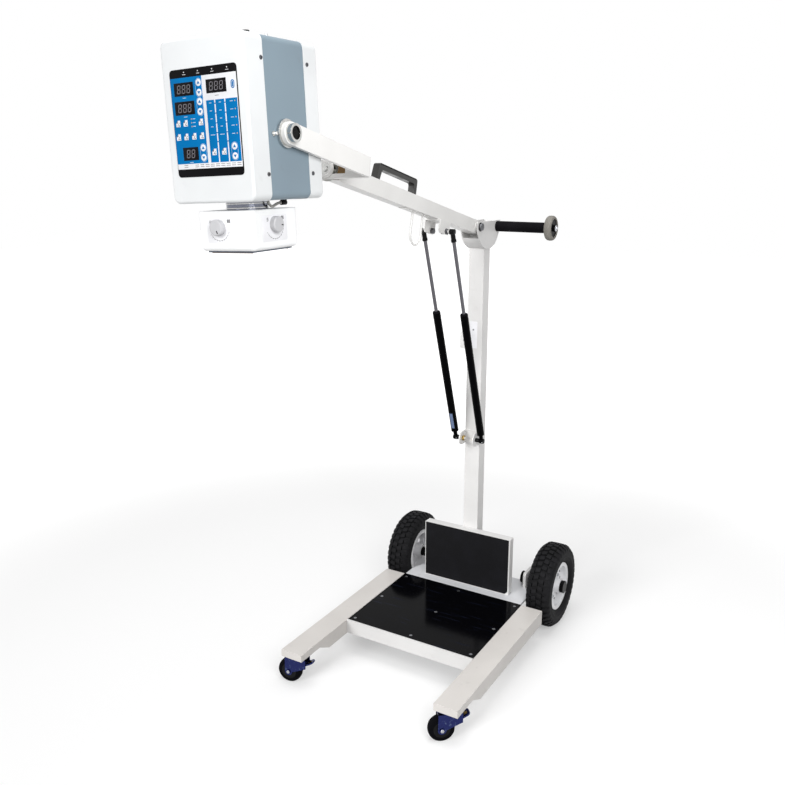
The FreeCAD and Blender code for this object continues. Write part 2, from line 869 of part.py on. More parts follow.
def build_rear_deck():
    """The rear deck plate, notched for the axle brackets, on a box beam below the column."""
    body = new_piece("rear_deck", place(y="axle_setback", z="deck_height"))
    extrude(
        body,
        "Plate",
        "Z",
        [
            outline(
                (f"-{DECK_HALF}", "-deck_front_gap"),
                (DECK_HALF, "-deck_front_gap"),
                (DECK_HALF, "-deck_corner_gap"),
                (DECK_REAR_HALF, "deck_rear"),
                (f"-{DECK_REAR_HALF}", "deck_rear"),
                (f"-{DECK_HALF}", "-deck_corner_gap"),
            )
        ],
        "-deck_thickness",
        "0",
    )
    beam_front = "-column_gap"
    beam_back = "(deck_beam_depth - column_gap)"
    extrude(
        body,
        "Beam",
        "X",
        [rectangle(beam_front, "-member_height", beam_back, "-deck_thickness")],
        f"-{BRACKET_INNER}",
        BRACKET_INNER,
    )
    hollow(
        body,
        "Inside",
        "X",
        [
            rectangle(
                f"{beam_front} + frame_wall",
                "frame_wall - member_height",
                f"{beam_back} - frame_wall",
                "-deck_thickness",
            )
        ],
        f"frame_wall - {BRACKET_INNER}",
        f"{BRACKET_INNER} - frame_wall",
    )
    notches = [
        rectangle(left, "-bracket_depth / 2", right, "bracket_depth / 2")
        for left, right in (
            (BRACKET_INNER, DECK_HALF),
            (f"-{DECK_HALF}", f"-{BRACKET_INNER}"),
        )
    ]
    hollow(body, "Notches", "Z", notches, "-deck_thickness", "0")


def build_foot_plate():
    base = place(y="axle_setback", z=MEMBER_TOP)
    body = new_piece("foot_plate", base)
    extrude(
        body,
        "Plate",
        "Z",
        [
            rectangle(
                f"-{FOOT_PLATE_HALF}",
                "front_lip - front_member_gap",
                FOOT_PLATE_HALF,
                "-deck_front_gap",
            )
        ],
        "0",
        "foot_plate_thickness",
    )
    places = [(x, f"{row} - axle_setback") for row in SCREW_ROWS for x in SCREW_COLUMNS]
    holes = [circle(x, y, "screw_shank + 2 * running_gap") for x, y in places]
    hollow(body, "ScrewHoles", "Z", holes, "0", "foot_plate_thickness")
    seats = [circle(x, y, "screw_head + 2 * running_gap") for x, y in places]
    seat_floor = "foot_plate_thickness - screw_head_height - screw_sink"
    hollow(body, "ScrewSeats", "Z", seats, seat_floor, "foot_plate_thickness")


def build_foot_plate_screws():
    """Nine low-head screws, three rows of three, sunk a little below the foot plate's face."""
    body = new_piece("foot_plate_screws", place(z=FOOT_PLATE_TOP))
    places = [(x, row) for row in SCREW_ROWS for x in SCREW_COLUMNS]
    shanks = [circle(x, row, "screw_shank") for x, row in places]
    heads = [circle(x, row, "screw_head") for x, row in places]
    head_seat = "-screw_head_height - screw_sink"
    extrude(body, "Shanks", "Z", shanks, "-screw_length", head_seat)
    extrude(body, "Heads", "Z", heads, head_seat, "-screw_sink")
    soften(body, "HeadEdges", "screw_head_height / 2", lies_at("Z", "-screw_sink"))


# ---------------------------------------------------------------- column and pad box


def build_column():
    """A square tube on a foot flange, closed on top."""
    body = new_piece("column", place(y=COLUMN_FRONT, z="deck_height"))
    half = "column_width / 2"
    height = "(cheek_centre_height - column_top_drop - deck_height)"
    extrude(
        body,
        "Foot",
        "Z",
        [rectangle(f"-{half} - foot_flange", "0", f"{half} + foot_flange", "column_depth + foot_flange")],
        "0",
        "foot_flange_thickness",
    )
    extrude(body, "Tube", "Z", [rectangle(f"-{half}", "0", half, "column_depth")], "0", height)
    hollow(
        body,
        "Inside",
        "Z",
        [
            rectangle(
                f"column_wall - {half}", "column_wall", f"{half} - column_wall", "column_depth - column_wall"
            )
        ],
        "0",
        f"{height} - column_wall",
    )


def build_pad_box():
    """A shallow steel box in front of the column's foot, open at its back."""
    body = new_piece("pad_box", place(y=f"{COLUMN_FRONT} - box_depth", z="deck_height"))
    height = "(box_top - deck_height)"
    extrude(
        body,
        "Box",
        "Y",
        [rounded_rectangle("-box_half_width", "0", "box_half_width", height, "box_corner")],
        "0",
        "box_depth",
    )
    hollow(
        body,
        "Inside",
        "Y",
        [
            rectangle(
                "box_wall - box_half_width",
                "box_wall",
                "box_half_width - box_wall",
                f"{height} - box_wall",
            )
        ],
        "box_wall",
        "box_depth",
    )


def build_rubber_pad():
    body = new_piece("rubber_pad", place(y=f"{COLUMN_FRONT} - box_depth - pad_thickness", z="deck_height"))
    top = "(box_top - deck_height - pad_margin / 2)"
    right = "(box_half_width - pad_margin)"
    extrude(
        body,
        "Sheet",
        "Y",
        [
            outline(
                (f"-{right}", "pad_margin"),
                (f"{right} - pad_chamfer", "pad_margin"),
                (right, "pad_margin + pad_chamfer"),
                (right, top),
                (f"-{right}", top),
            )
        ],
        "0",
        "pad_thickness",
    )


def build_counterweight():
    """The steel slab inside the pad box that holds the cart down behind the head."""
    body = new_piece("counterweight", place(y=f"{COLUMN_FRONT} - box_depth + box_wall", z="deck_height"))
    inset = "(box_wall + face_gap)"
    extrude(
        body,
        "Slab",
        "Y",
        [
            rectangle(
                f"{inset} - box_half_width",
                inset,
                f"box_half_width - {inset}",
                f"box_top - deck_height - {inset}",
            )
        ],
        "0",
        "weight_thickness",
    )


def build_lower_strut_bracket():
    """A clevis on the column's front whose ears carry the gas springs' lower pins."""
    body = new_piece("lower_strut_bracket", place(y=COLUMN_FRONT, z="strut_foot_height"))
    extrude(
        body,
        "Web",
        "Y",
        [rectangle("-ear_outer", "-ear_half_height", "ear_outer", "ear_half_height")],
        "-ear_thickness",
        "0",
    )
    ear = extrude(
        body,
        "Ear",
        "X",
        [rectangle("-strut_foot_forward", "-ear_half_height", "0", "ear_half_height")],
        "ear_outer - ear_thickness",
        "ear_outer",
    )
    tip = extrude(
        body,
        "EarEnd",
        "X",
        [circle("-strut_foot_forward", "0", "2 * ear_half_height")],
        "ear_outer - ear_thickness",
        "ear_outer",
    )
    pin = extrude(
        body,
        "Pin",
        "X",
        [circle("-strut_foot_forward", "0", "strut_pin")],
        "ear_outer - 3 * ear_thickness",
        "strut_side + socket_width / 2 - face_gap",
    )
    nut = extrude(
        body,
        "Nut",
        "X",
        [circle("-strut_foot_forward", "0", "strut_nut")],
        "ear_outer - 2.5 * ear_thickness",
        "ear_outer - ear_thickness",
    )
    mirror(body, "OtherSide", [ear, tip, pin, nut])


# ---------------------------------------------------------------- column head


def build_column_cheeks():
    """Two half-round plates on the column's sides that hold the arm's pivot and the grip."""
    body = new_piece("column_cheeks", place(y=CHEEK_Y, z="cheek_centre_height"))
    cheek = extrude(
        body,
        "Cheek",
        "X",
        [
            circle("0", "0", "2 * cheek_radius"),
            circle(
                f"{PIVOT_Y} - {CHEEK_Y}",
                "-pivot_drop",
                "pivot_bolt + 2 * running_gap",
            ),
            circle(
                f"{GRIP_Y} - {CHEEK_Y}",
                "-grip_drop",
                "grip_rod_diameter + 2 * running_gap",
            ),
        ],
        "column_width / 2",
        CHEEK_OUTER,
    )
    mirror(body, "OtherCheek", [cheek])
    above = rectangle("-2 * cheek_radius", "cheek_top_rise", "2 * cheek_radius", "2 * cheek_radius")
    hollow(body, "TopCut", "X", [above], f"-{CHEEK_OUTER}", CHEEK_OUTER)


def build_cheek_wrap():
    """The bent cover between the cheeks, in front of the column and behind it."""
    body = new_piece("cheek_wrap", place(y=CHEEK_Y, z="cheek_centre_height"))
    side = "(column_width / 2)"
    far = "(2 * cheek_radius)"
    extrude(
        body,
        "Ring",
        "X",
        [circle("0", "0", far), circle("0", "0", f"{far} - 2 * wrap_wall")],
        f"-{side}",
        side,
    )
    above = outline(
        (f"-{far}", "-wrap_front_drop"),
        ("0", "-wrap_front_drop"),
        ("0", "0"),
        (far, "0"),
        (far, far),
        (f"-{far}", far),
    )
    hollow(body, "TopCut", "X", [above], f"-{side}", side)
    beside_column = rectangle(f"{COLUMN_FRONT} - {CHEEK_Y}", f"-{far}", f"{COLUMN_BACK} - {CHEEK_Y}", "0")
    hollow(body, "ColumnCut", "X", [beside_column], f"-{side}", side)


def build_arm_pivot_bolt():
    body = new_piece("arm_pivot_bolt", place(y=PIVOT_Y, z=PIVOT_Z))
    end = f"({CHEEK_OUTER} + pivot_head_height)"
    turn(
        body,
        "Bolt",
        "X",
        (
            (f"-{end}", "0"),
            (end, "0"),
            (end, "pivot_head / 2"),
            (CHEEK_OUTER, "pivot_head / 2"),
            (CHEEK_OUTER, "pivot_bolt / 2"),
            (f"-{CHEEK_OUTER}", "pivot_bolt / 2"),
            (f"-{CHEEK_OUTER}", "pivot_head / 2"),
            (f"-{end}", "pivot_head / 2"),
        ),
    )


END_WHEEL_START = f"({CHEEK_OUTER} + grip_length + end_wheel_gap)"
END_WHEEL_FACE = f"({END_WHEEL_START} + end_wheel_width - end_wheel_dish)"


def build_grip_rod():
    """The bar of the push grip, with its nut inside and the bolt that keeps the end wheel."""
    body = new_piece("grip_rod", place(y=GRIP_Y, z=GRIP_Z))
    nut_end = f"({CHEEK_OUTER} + grip_nut_length)"
    bolt_start = f"({END_WHEEL_FACE} + face_gap)"
    turn(
        body,
        "Rod",
        "X",
        (
            (f"-{nut_end}", "0"),
            (f"{bolt_start} + end_bolt_length", "0"),
            (f"{bolt_start} + end_bolt_length", "end_bolt_diameter / 2"),
            (bolt_start, "end_bolt_diameter / 2"),
            (bolt_start, "grip_rod_diameter / 2"),
            (f"-{CHEEK_OUTER}", "grip_rod_diameter / 2"),
            (f"-{CHEEK_OUTER}", "grip_nut / 2"),
            (f"-{nut_end}", "grip_nut / 2"),
        ),
    )


def build_grip_sleeve():
    body = new_piece("grip_sleeve", place(x=CHEEK_OUTER, y=GRIP_Y, z=GRIP_Z))
    bore = "(grip_rod_diameter / 2 + running_gap)"
    turn(
        body,
        "Sleeve",
        "X",
        (
            ("0", bore),
            ("grip_length", bore),
            ("grip_length", "grip_diameter / 2"),
            ("0", "grip_diameter / 2"),
        ),
    )


def build_end_wheel():
    """The rubber-tyred roller on the end of the grip."""
    body = new_piece("end_wheel", place(x=END_WHEEL_START, y=GRIP_Y, z=GRIP_Z))
    bore = "(grip_rod_diameter / 2 + running_gap)"
    turn(
        body,
        "Roller",
        "X",
        (
            ("end_wheel_dish", bore),
            ("end_wheel_width - end_wheel_dish", bore),
            ("end_wheel_width - end_wheel_dish", "end_wheel_hub / 2"),
            ("end_wheel_width", "end_wheel_hub / 2"),
            ("end_wheel_width", "end_wheel_diameter / 2"),
            ("0", "end_wheel_diameter / 2"),
            ("0", "end_wheel_hub / 2"),
            ("end_wheel_dish", "end_wheel_hub / 2"),
        ),
    )
    outside = value("end_wheel_diameter / 2")
    soften(
        body,
        "TreadRound",
        "end_wheel_round",
        lambda edge: isinstance(edge.Curve, Part.Circle) and abs(edge.Curve.Radius - outside) < 0.01,
    )


# ---------------------------------------------------------------- arm


def build_arm_beam():
    """A box tube with a pivot boss through its tail and a flange on its front end."""
    body = new_piece("arm_beam", ARM)
    half_width = "(arm_width / 2)"
    half_height = "(arm_height / 2)"
    extrude(
        body,
        "Tube",
        "Y",
        [rectangle(f"-{half_width}", f"-{half_height}", half_width, half_height)],
        "-arm_length",
        "arm_tail",
    )
    inner = rectangle(
        f"arm_wall - {half_width}",
        f"arm_wall - {half_height}",
        f"{half_width} - arm_wall",
        f"{half_height} - arm_wall",
    )
    hollow(body, "Inside", "Y", [inner], "-arm_length", "arm_tail")
    flange = [
        rectangle(
            "-arm_flange_width / 2", "-arm_flange_height / 2", "arm_flange_width / 2", "arm_flange_height / 2"
        ),
        circle("0", "0", "swivel_shaft_diameter + 2 * running_gap"),
    ]
    extrude(body, "Flange", "Y", flange, f"-{FLANGE_FACE}", "-arm_length")
    boss_end = "(column_width / 2 - face_gap)"
    extrude(body, "Boss", "X", [circle("0", "0", "arm_boss")], f"-{boss_end}", boss_end)
    hollow(body, "Bore", "X", [circle("0", "0", "pivot_bolt + 2 * running_gap")], f"-{boss_end}", boss_end)


def build_carry_handle():
    """A bridge handle on top of the arm, raked at its front end."""
    body = new_piece("carry_handle", place(y="-handle_rear", z="arm_height / 2", on=ARM))
    front = "-handle_length"
    under = "(handle_height - handle_bar)"
    extrude(
        body,
        "Bridge",
        "X",
        [
            outline(
                ("0", "0"),
                ("0", "handle_height"),
                (f"{front} + handle_rake", "handle_height"),
                (front, "0"),
                (f"{front} + handle_bar", "0"),
                (f"{front} + handle_bar + handle_rake", under),
                ("-handle_bar", under),
                ("-handle_bar", "0"),
            )
        ],
        "-handle_width / 2",
        "handle_width / 2",
    )

    def turns_the_bar(edge):
        height = edge.CenterOfMass.z
        return height > value(f"{under} - 1")

    soften(body, "Corners", "handle_corner", both(runs_along("X"), turns_the_bar))


def build_cable_hook():
    """A bent rod under the arm that hangs from its own base plate."""
    top = "-arm_height / 2 - hook_plate_thickness"
    body = new_piece("cable_hook", place(y="-hook_rear", z=top, on=ARM))
    tail = "(hook_plate_width / 2)"
    extrude(
        body,
        "Plate",
        "Z",
        [rectangle(f"-{tail}", f"{tail} - hook_plate_length", tail, tail)],
        "0",
        "hook_plate_thickness",
    )
    straight = "(hook_drop - hook_span / 2 - hook_rod / 2)"
    path = sketch_on(body, "RodPath", "X", "0", [])
    depth = value(straight)
    span = value("hook_span")
    bend_centre = FreeCAD.Vector(-span / 2, -depth, 0)
    bend = Part.Circle(bend_centre, FreeCAD.Vector(0, 0, 1), span / 2)
    rear_leg = Part.LineSegment(FreeCAD.Vector(0, 0, 0), FreeCAD.Vector(0, -depth, 0))
    front_leg = Part.LineSegment(FreeCAD.Vector(-span, -depth, 0), FreeCAD.Vector(-span, 0, 0))
    path.addGeometry([rear_leg, Part.ArcOfCircle(bend, math.pi, 2 * math.pi), front_leg], False)
    path.addConstraint(
        [Sketcher.Constraint("Coincident", 0, 2, 1, 2), Sketcher.Constraint("Coincident", 1, 1, 2, 1)]
    )
    pin_point(path, 0, 1, "0", "0")
    centre_height = path.addConstraint(Sketcher.Constraint("DistanceY", -1, 1, 1, 3, -depth))
    path.setExpression(f"Constraints[{centre_height}]", tied(f"-{straight}"))
    pin_point(path, 0, 2, "0", f"-{straight}")
    pin_point(path, 2, 1, "-hook_span", f"-{straight}")
    pin_point(path, 2, 2, "-hook_span", "0")
    profile = sketch_on(body, "RodSection", "Z", "0", [circle("0", "0", "hook_rod")])
    rod = body.newObject("PartDesign::AdditivePipe", "Rod")
    rod.Profile = profile
    rod.Spine = path
    document.recompute()
    body.Tip = rod


def build_upper_strut_bracket():
    """A clevis under the arm whose ears carry the gas springs' upper studs."""
    body = new_piece("upper_strut_bracket", place(y="-strut_head_reach", z="-arm_height / 2", on=ARM))
    front = "-upper_ear_front"
    rear = "upper_ear_rear"
    extrude(
        body, "Plate", "Z", [rectangle("-ear_outer", front, "ear_outer", rear)], "-upper_plate_thickness", "0"
    )
    stud_z = "arm_height / 2 - strut_head_drop"
    ear = extrude(
        body,
        "Ear",
        "X",
        [
            outline(
                (front, "0"),
                (front, "upper_ear_bevel - upper_ear_drop"),
                (f"{front} + upper_ear_bevel", "-upper_ear_drop"),
                (f"{rear} - upper_ear_bevel", "-upper_ear_drop"),
                (rear, "upper_ear_bevel - upper_ear_drop"),
                (rear, "0"),
            )
        ],
        "ear_outer - ear_thickness",
        "ear_outer",
    )
    stud = extrude(
        body,
        "Stud",
        "X",
        [circle("0", stud_z, "strut_pin")],
        "ear_outer - 3 * ear_thickness",
        "strut_side - socket_width / 2 - face_gap",
    )
    nut = extrude(
        body,
        "Nut",
        "X",
        [circle("0", stud_z, "strut_stud_head")],
        "ear_outer - 2.5 * ear_thickness",
        "ear_outer - ear_thickness",
    )
    mirror(body, "OtherSide", [ear, stud, nut])


# ---------------------------------------------------------------- gas springs


def strut_frame(sign):
    """Return the place of one gas spring: its lower pin, leaning as the spring leans."""
    return place(
        x=f"{sign} * strut_side", y=STRUT_FOOT_Y, z="strut_foot_height", axis=ALONG_X, angle=STRUT_LEAN
    )


TUBE_START = "strut_neck_length"
TUBE_END = "(strut_neck_length + strut_tube_length)"


def build_strut_tube(side, sign):
    """The gas spring's cylinder, with the lower socket round its bracket's pin."""
    body = new_piece(f"strut_tube_{side}", strut_frame(sign))
    bore_start = f"({TUBE_START} + strut_end_wall)"
    seal_start = f"({TUBE_END} - strut_end_wall)"
    seal_radius = "(strut_rod_diameter / 2 + running_gap)"
    turn(
        body,
        "Cylinder",
        "Z",
        (
            ("0", "0"),
            ("0", "strut_neck / 2"),
            (TUBE_START, "strut_neck / 2"),
            (TUBE_START, "strut_tube_diameter / 2"),
            (TUBE_END, "strut_tube_diameter / 2"),
            (TUBE_END, seal_radius),
            (seal_start, seal_radius),
            (seal_start, "strut_tube_bore / 2"),
            (bore_start, "strut_tube_bore / 2"),
            (bore_start, "0"),
        ),
    )
    half = "(socket_width / 2)"
    extrude(body, "Socket", "X", [circle("0", "0", "socket_diameter")], f"-{half}", half)
    hollow(body, "PinBore", "X", [circle("0", "0", "strut_pin + 2 * running_gap")], f"-{half}", half)


def build_strut_rod(side, sign):
    """The gas spring's rod, with its piston inside the cylinder and its upper socket."""
    body = new_piece(f"strut_rod_{side}", strut_frame(sign))
    start = f"({TUBE_END} - strut_rod_hidden)"
    fitting = f"({STRUT_LENGTH} - strut_fitting_length)"
    turn(
        body,
        "Rod",
        "Z",
        (
            (start, "0"),
            (start, "strut_tube_bore / 2 - 2 * running_gap"),
            (f"{start} + piston_length", "strut_tube_bore / 2 - 2 * running_gap"),
            (f"{start} + piston_length", "strut_rod_diameter / 2"),
            (fitting, "strut_rod_diameter / 2"),
            (fitting, "strut_neck / 2"),
            (STRUT_LENGTH, "strut_neck / 2"),
            (STRUT_LENGTH, "0"),
        ),
    )
    half = "(socket_width / 2)"
    extrude(body, "Socket", "X", [circle("0", STRUT_LENGTH, "socket_diameter")], f"-{half}", half)


# ---------------------------------------------------------------- swivel and yoke


def build_swivel_shaft():
    """The shaft in the arm's end flange that the yoke rolls on, with its washer and its nut."""
    body = new_piece("swivel_shaft", ARM)
    shaft = "(swivel_shaft_diameter / 2)"
    friction_face = f"({FLANGE_FACE} + friction_thickness)"
    nut_start = f"({YOKE_FRONT} + face_gap)"
    nut_end = f"({nut_start} + swivel_nut_length)"
    end = f"({nut_end} + swivel_end_length)"
    turn(
        body,
        "Shaft",
        "Y",
        (
            ("swivel_nut_length - arm_length", "0"),
            (f"-{end}", "0"),
            (f"-{end}", "swivel_end_diameter / 2"),
            (f"-{nut_end}", "swivel_end_diameter / 2"),
            (f"-{nut_end}", "swivel_nut_diameter / 2"),
            (f"-{nut_start}", "swivel_nut_diameter / 2"),
            (f"-{nut_start}", shaft),
            (f"-{WASHER_FACE}", shaft),
            (f"-{WASHER_FACE}", "washer_diameter / 2"),
            (f"-{friction_face}", "washer_diameter / 2"),
            (f"-{friction_face}", shaft),
            ("-arm_length", shaft),
            ("-arm_length", f"{shaft} + swivel_inner_nut_rise"),
            ("swivel_nut_length - arm_length", f"{shaft} + swivel_inner_nut_rise"),
        ),
    )


def build_friction_plate():
    body = new_piece("friction_plate", ARM)
    extrude(
        body,
        "Plate",
        "Y",
        [
            rectangle(
                "-friction_half_width", "-friction_height / 2", "friction_half_width", "friction_height / 2"
            ),
            circle("0", "0", "swivel_shaft_diameter + 2 * running_gap"),
        ],
        f"-{FLANGE_FACE} - friction_thickness",
        f"-{FLANGE_FACE}",
    )


def build_yoke_frame():
    """The fork that holds the head: a slotted cross plate with a hub ring and two side arms."""
    body = new_piece("yoke_frame", YOKE)
    back = f"(yoke_reach - {YOKE_BACK})"
    front = f"(yoke_reach - {YOKE_FRONT})"
    half_height = "(yoke_height / 2)"
    inner = "(yoke_half_width - yoke_thickness)"
    extrude(
        body,
        "CrossPlate",
        "Y",
        [
            rectangle("-yoke_half_width", f"-{half_height}", "yoke_half_width", half_height),
            rectangle("-window_half_width", "-window_height / 2", "window_half_width", "window_height / 2"),
        ],
        front,
        back,
    )
    arm = extrude(
        body, "SideArm", "X", [rectangle("0", f"-{half_height}", back, half_height)], inner, "yoke_half_width"
    )
    end = extrude(body, "ArmEnd", "X", [circle("0", "0", "yoke_height")], inner, "yoke_half_width")
    mirror(body, "OtherArm", [arm, end])
    bores = [circle("0", "0", "bushing_outer + 2 * running_gap")]
    hollow(body, "Bores", "X", bores, "-yoke_half_width", "yoke_half_width")
    rear_corner = both(runs_along("Z"), lies_at("Y", back))
    soften(body, "RearCorners", "yoke_corner", rear_corner)
    ring = [circle("0", "0", "hub_ring_outer"), circle("0", "0", "swivel_nut_diameter + 4 * running_gap")]
    extrude(body, "HubRing", "Y", ring, f"{front} - hub_ring_length", front)


def build_yoke_bushings():
    """Two flanged bushings in the yoke's arms that the head's trunnions turn in."""
    body = new_piece("yoke_bushings", YOKE)
    start = "(head_width / 2 + face_gap)"
    shoulder = "(yoke_half_width - yoke_thickness)"
    bushing = turn(
        body,
        "Bushing",
        "X",
        (
            (start, "bushing_bore / 2"),
            ("bushing_end", "bushing_bore / 2"),
            ("bushing_end", "bushing_outer / 2"),
            (shoulder, "bushing_outer / 2"),
            (shoulder, "bushing_flange / 2"),
            (start, "bushing_flange / 2"),
        ),
    )
    mirror(body, "OtherBushing", [bushing])


# ---------------------------------------------------------------- head


def case_section(inset):
    """Return the head's rounded section, drawn in by an inset."""
    return rounded_rectangle(
        f"{inset} - head_width / 2",
        f"{HEAD_BOTTOM} + {inset}",
        f"head_width / 2 - {inset}",
        f"{HEAD_TOP} - {inset}",
        f"head_corner - {inset}",
    )


def build_front_shell():
    body = new_piece("front_shell", HEAD)
    extrude(body, "Shell", "Y", [case_section("0")], HEAD_FRONT, FRONT_SEAM)
    soften(body, "FrontEdge", "head_edge", lies_at("Y", HEAD_FRONT))
    hollow(body, "Inside", "Y", [case_section("shell_wall")], f"{HEAD_FRONT} + shell_wall", FRONT_SEAM)


def build_rear_shell():
    body = new_piece("rear_shell", HEAD)
    extrude(body, "Shell", "Y", [case_section("0")], REAR_SEAM, HEAD_BACK)
    soften(body, "BackEdge", "head_edge", lies_at("Y", HEAD_BACK))
    hollow(body, "Inside", "Y", [case_section("shell_wall")], REAR_SEAM, f"{HEAD_BACK} - shell_wall")


def build_centre_band():
    """The band between the shells that carries the trunnions, the tank and the neck."""
    body = new_piece("centre_band", HEAD)
    inner = case_section("(band_inset + shell_wall)")
    extrude(body, "Band", "Y", [case_section("band_inset"), inner], FRONT_SEAM, REAR_SEAM)
    bores = [circle("0", "0", "bushing_bore")]
    hollow(body, "TrunnionBores", "X", bores, "-head_width / 2", "head_width / 2")
    beam = [circle("0", BEAM_Y, "beam_diameter")]
    hollow(body, "BeamHole", "Z", beam, HEAD_BOTTOM, f"{HEAD_BOTTOM} + band_inset + shell_wall + cut_past")


def build_top_fittings():
    """A cap on the front shell's top and a stud on the band's top, both near the side."""
    body = new_piece("top_fittings", HEAD)
    band_top = f"({HEAD_TOP} - band_inset)"
    for fitting, seat in (("top_cap", HEAD_TOP), ("top_stud", band_top)):
        outer = circle("top_fitting_side", f"{fitting}_depth - head_axle_depth", f"{fitting}_diameter")
        top = f"({seat} + {fitting}_height)"
        extrude(body, fitting, "Z", [outer], seat, top)
        soften(body, f"{fitting}_edge", f"{fitting}_height / 4", lies_at("Z", top))


def build_control_panel():
    body = new_piece("control_panel", HEAD)
    bottom = f"({HEAD_BOTTOM} + panel_bottom)"
    face = rounded_rectangle(
        "-panel_half_width", bottom, "panel_half_width", f"{bottom} + panel_height", "panel_corner"
    )
    extrude(body, "Panel", "Y", [face], f"{HEAD_FRONT} - panel_thickness", HEAD_FRONT)


def build_head_trunnions():
    """Two flanged hollow trunnions that pass through the band into the yoke's bushings."""
    body = new_piece("head_trunnions", HEAD)
    seat = "(head_width / 2 - band_inset - shell_wall)"
    radius = "(bushing_bore / 2 - running_gap)"
    trunnion = turn(
        body,
        "Trunnion",
        "X",
        (
            (f"{seat} - trunnion_flange_thickness", "trunnion_bore / 2"),
            ("head_width / 2 + trunnion_length", "trunnion_bore / 2"),
            ("head_width / 2 + trunnion_length", radius),
            (seat, radius),
            (seat, "trunnion_flange / 2"),
            (f"{seat} - trunnion_flange_thickness", "trunnion_flange / 2"),
        ),
    )
    mirror(body, "OtherTrunnion", [trunnion])


def build_tube_housing():
    """The sealed tank inside the head, standing on the band above the beam's hole."""
    floor = f"({HEAD_BOTTOM} + band_inset + shell_wall)"
    body = new_piece("tube_housing", place(y=BEAM_Y, z=floor, on=HEAD))
    extrude(
        body,
        "Tank",
        "Z",
        [
            rounded_rectangle(
                "-tank_half_width", "-tank_depth / 2", "tank_half_width", "tank_depth / 2", "head_corner"
            )
        ],
        "0",
        "tank_height",
    )


# ---------------------------------------------------------------- collimator


def build_neck_ring():
    body = new_piece("neck_ring", place(y=BEAM_Y, z=BOX_TOP, on=HEAD))
    height = "(neck_length + band_inset)"
    ring = [circle("0", "0", "neck_diameter"), circle("0", "0", "beam_diameter")]
    extrude(body, "Ring", "Z", ring, "0", height)


FRONT_KNOB_Z = f"({HEAD_BOTTOM} - front_knob_drop)"
SIDE_KNOB_Y = "(side_knob_depth - head_axle_depth)"
SIDE_KNOB_Z = f"({HEAD_BOTTOM} - side_knob_drop)"


def box_section(inset):
    """Return the collimator's rounded section, drawn in by an inset."""
    return rounded_rectangle(
        f"{inset} - collimator_width / 2",
        f"{BOX_FRONT} + {inset}",
        f"collimator_width / 2 - {inset}",
        f"{BOX_BACK} - {inset}",
        f"collimator_corner - {inset}",
    )


def build_collimator_housing():
    """The beam limiter's box: hollow, with a shelf for the blades and an open window below."""
    body = new_piece("collimator_housing", HEAD)
    extrude(body, "Box", "Z", [box_section("0")], BOX_BOTTOM, BOX_TOP)
    soften(body, "BottomEdge", "collimator_edge", lies_at("Z", BOX_BOTTOM))
    soften(body, "TopEdge", "collimator_wall / 2", lies_at("Z", BOX_TOP))
    cavity = box_section("collimator_wall")
    hollow(
        body, "Inside", "Z", [cavity], f"{BOX_BOTTOM} + collimator_floor", f"{BOX_TOP} - collimator_wall"
    )
    half = "(aperture / 2)"
    opening = rectangle(f"-{half}", f"{BEAM_Y} - {half}", half, f"{BEAM_Y} + {half}")
    shelf = [box_section("collimator_wall / 2"), opening]
    extrude(body, "Shelf", "Z", shelf, f"{SHELF_TOP} - shelf_thickness", SHELF_TOP)
    edge = "(window_plate / 2 + running_gap)"
    window = rectangle(f"-{edge}", f"{BEAM_Y} - {edge}", edge, f"{BEAM_Y} + {edge}")
    hollow(body, "Window", "Z", [window], BOX_BOTTOM, f"{BOX_BOTTOM} + collimator_floor")
    beam = [circle("0", BEAM_Y, "beam_diameter")]
    hollow(body, "BeamHole", "Z", beam, f"{BOX_TOP} - collimator_wall", BOX_TOP)
    bore = "knob_shaft + 2 * running_gap"
    front_bore = [circle("-front_knob_side", FRONT_KNOB_Z, bore)]
    hollow(body, "FrontBore", "Y", front_bore, BOX_FRONT, f"{BOX_FRONT} + collimator_wall")
    side_bore = [circle(SIDE_KNOB_Y, SIDE_KNOB_Z, bore)]
    outside = "(collimator_width / 2)"
    hollow(body, "SideBore", "X", side_bore, f"{outside} - collimator_wall", outside)


def build_collimator_window():
    body = new_piece("collimator_window", place(y=BEAM_Y, z=BOX_BOTTOM, on=HEAD))
    half = "(window_plate / 2)"
    extrude(body, "Pane", "Z", [rectangle(f"-{half}", f"-{half}", half, half)], "0", "collimator_wall")


def build_knob(label, axis, outward, placement):
    """A dial knob: its shaft runs through the box's wall, its cap stands off the face."""
    body = new_piece(label, placement)
    turn(
        body,
        "Knob",
        axis,
        (
            (f"{outward} * (face_gap + knob_length)", "0"),
            (f"{outward} * (face_gap + knob_length)", "knob_diameter / 2 - knob_edge"),
            (f"{outward} * (face_gap + knob_length - knob_edge)", "knob_diameter / 2"),
            (f"{outward} * face_gap", "knob_diameter / 2"),
            (f"{outward} * face_gap", "knob_shaft / 2"),
            (f"-{outward} * knob_shaft_length", "knob_shaft / 2"),
            (f"-{outward} * knob_shaft_length", "0"),
        ),
    )


def build_blade(label, layer, direction):
    """One sliding blade: layer 0 lies on the shelf, layer 1 above it."""
    z = f"{SHELF_TOP} + face_gap + {layer} * (blade_thickness + face_gap)"
    body = new_piece(label, place(y=BEAM_Y, z=z, angle=direction, on=HEAD))
    far = "blade_half_gap + blade_length"
    section = [rectangle("blade_half_gap", "-blade_width / 2", far, "blade_width / 2")]
    extrude(body, "Blade", "Z", section, "0", "blade_thickness")


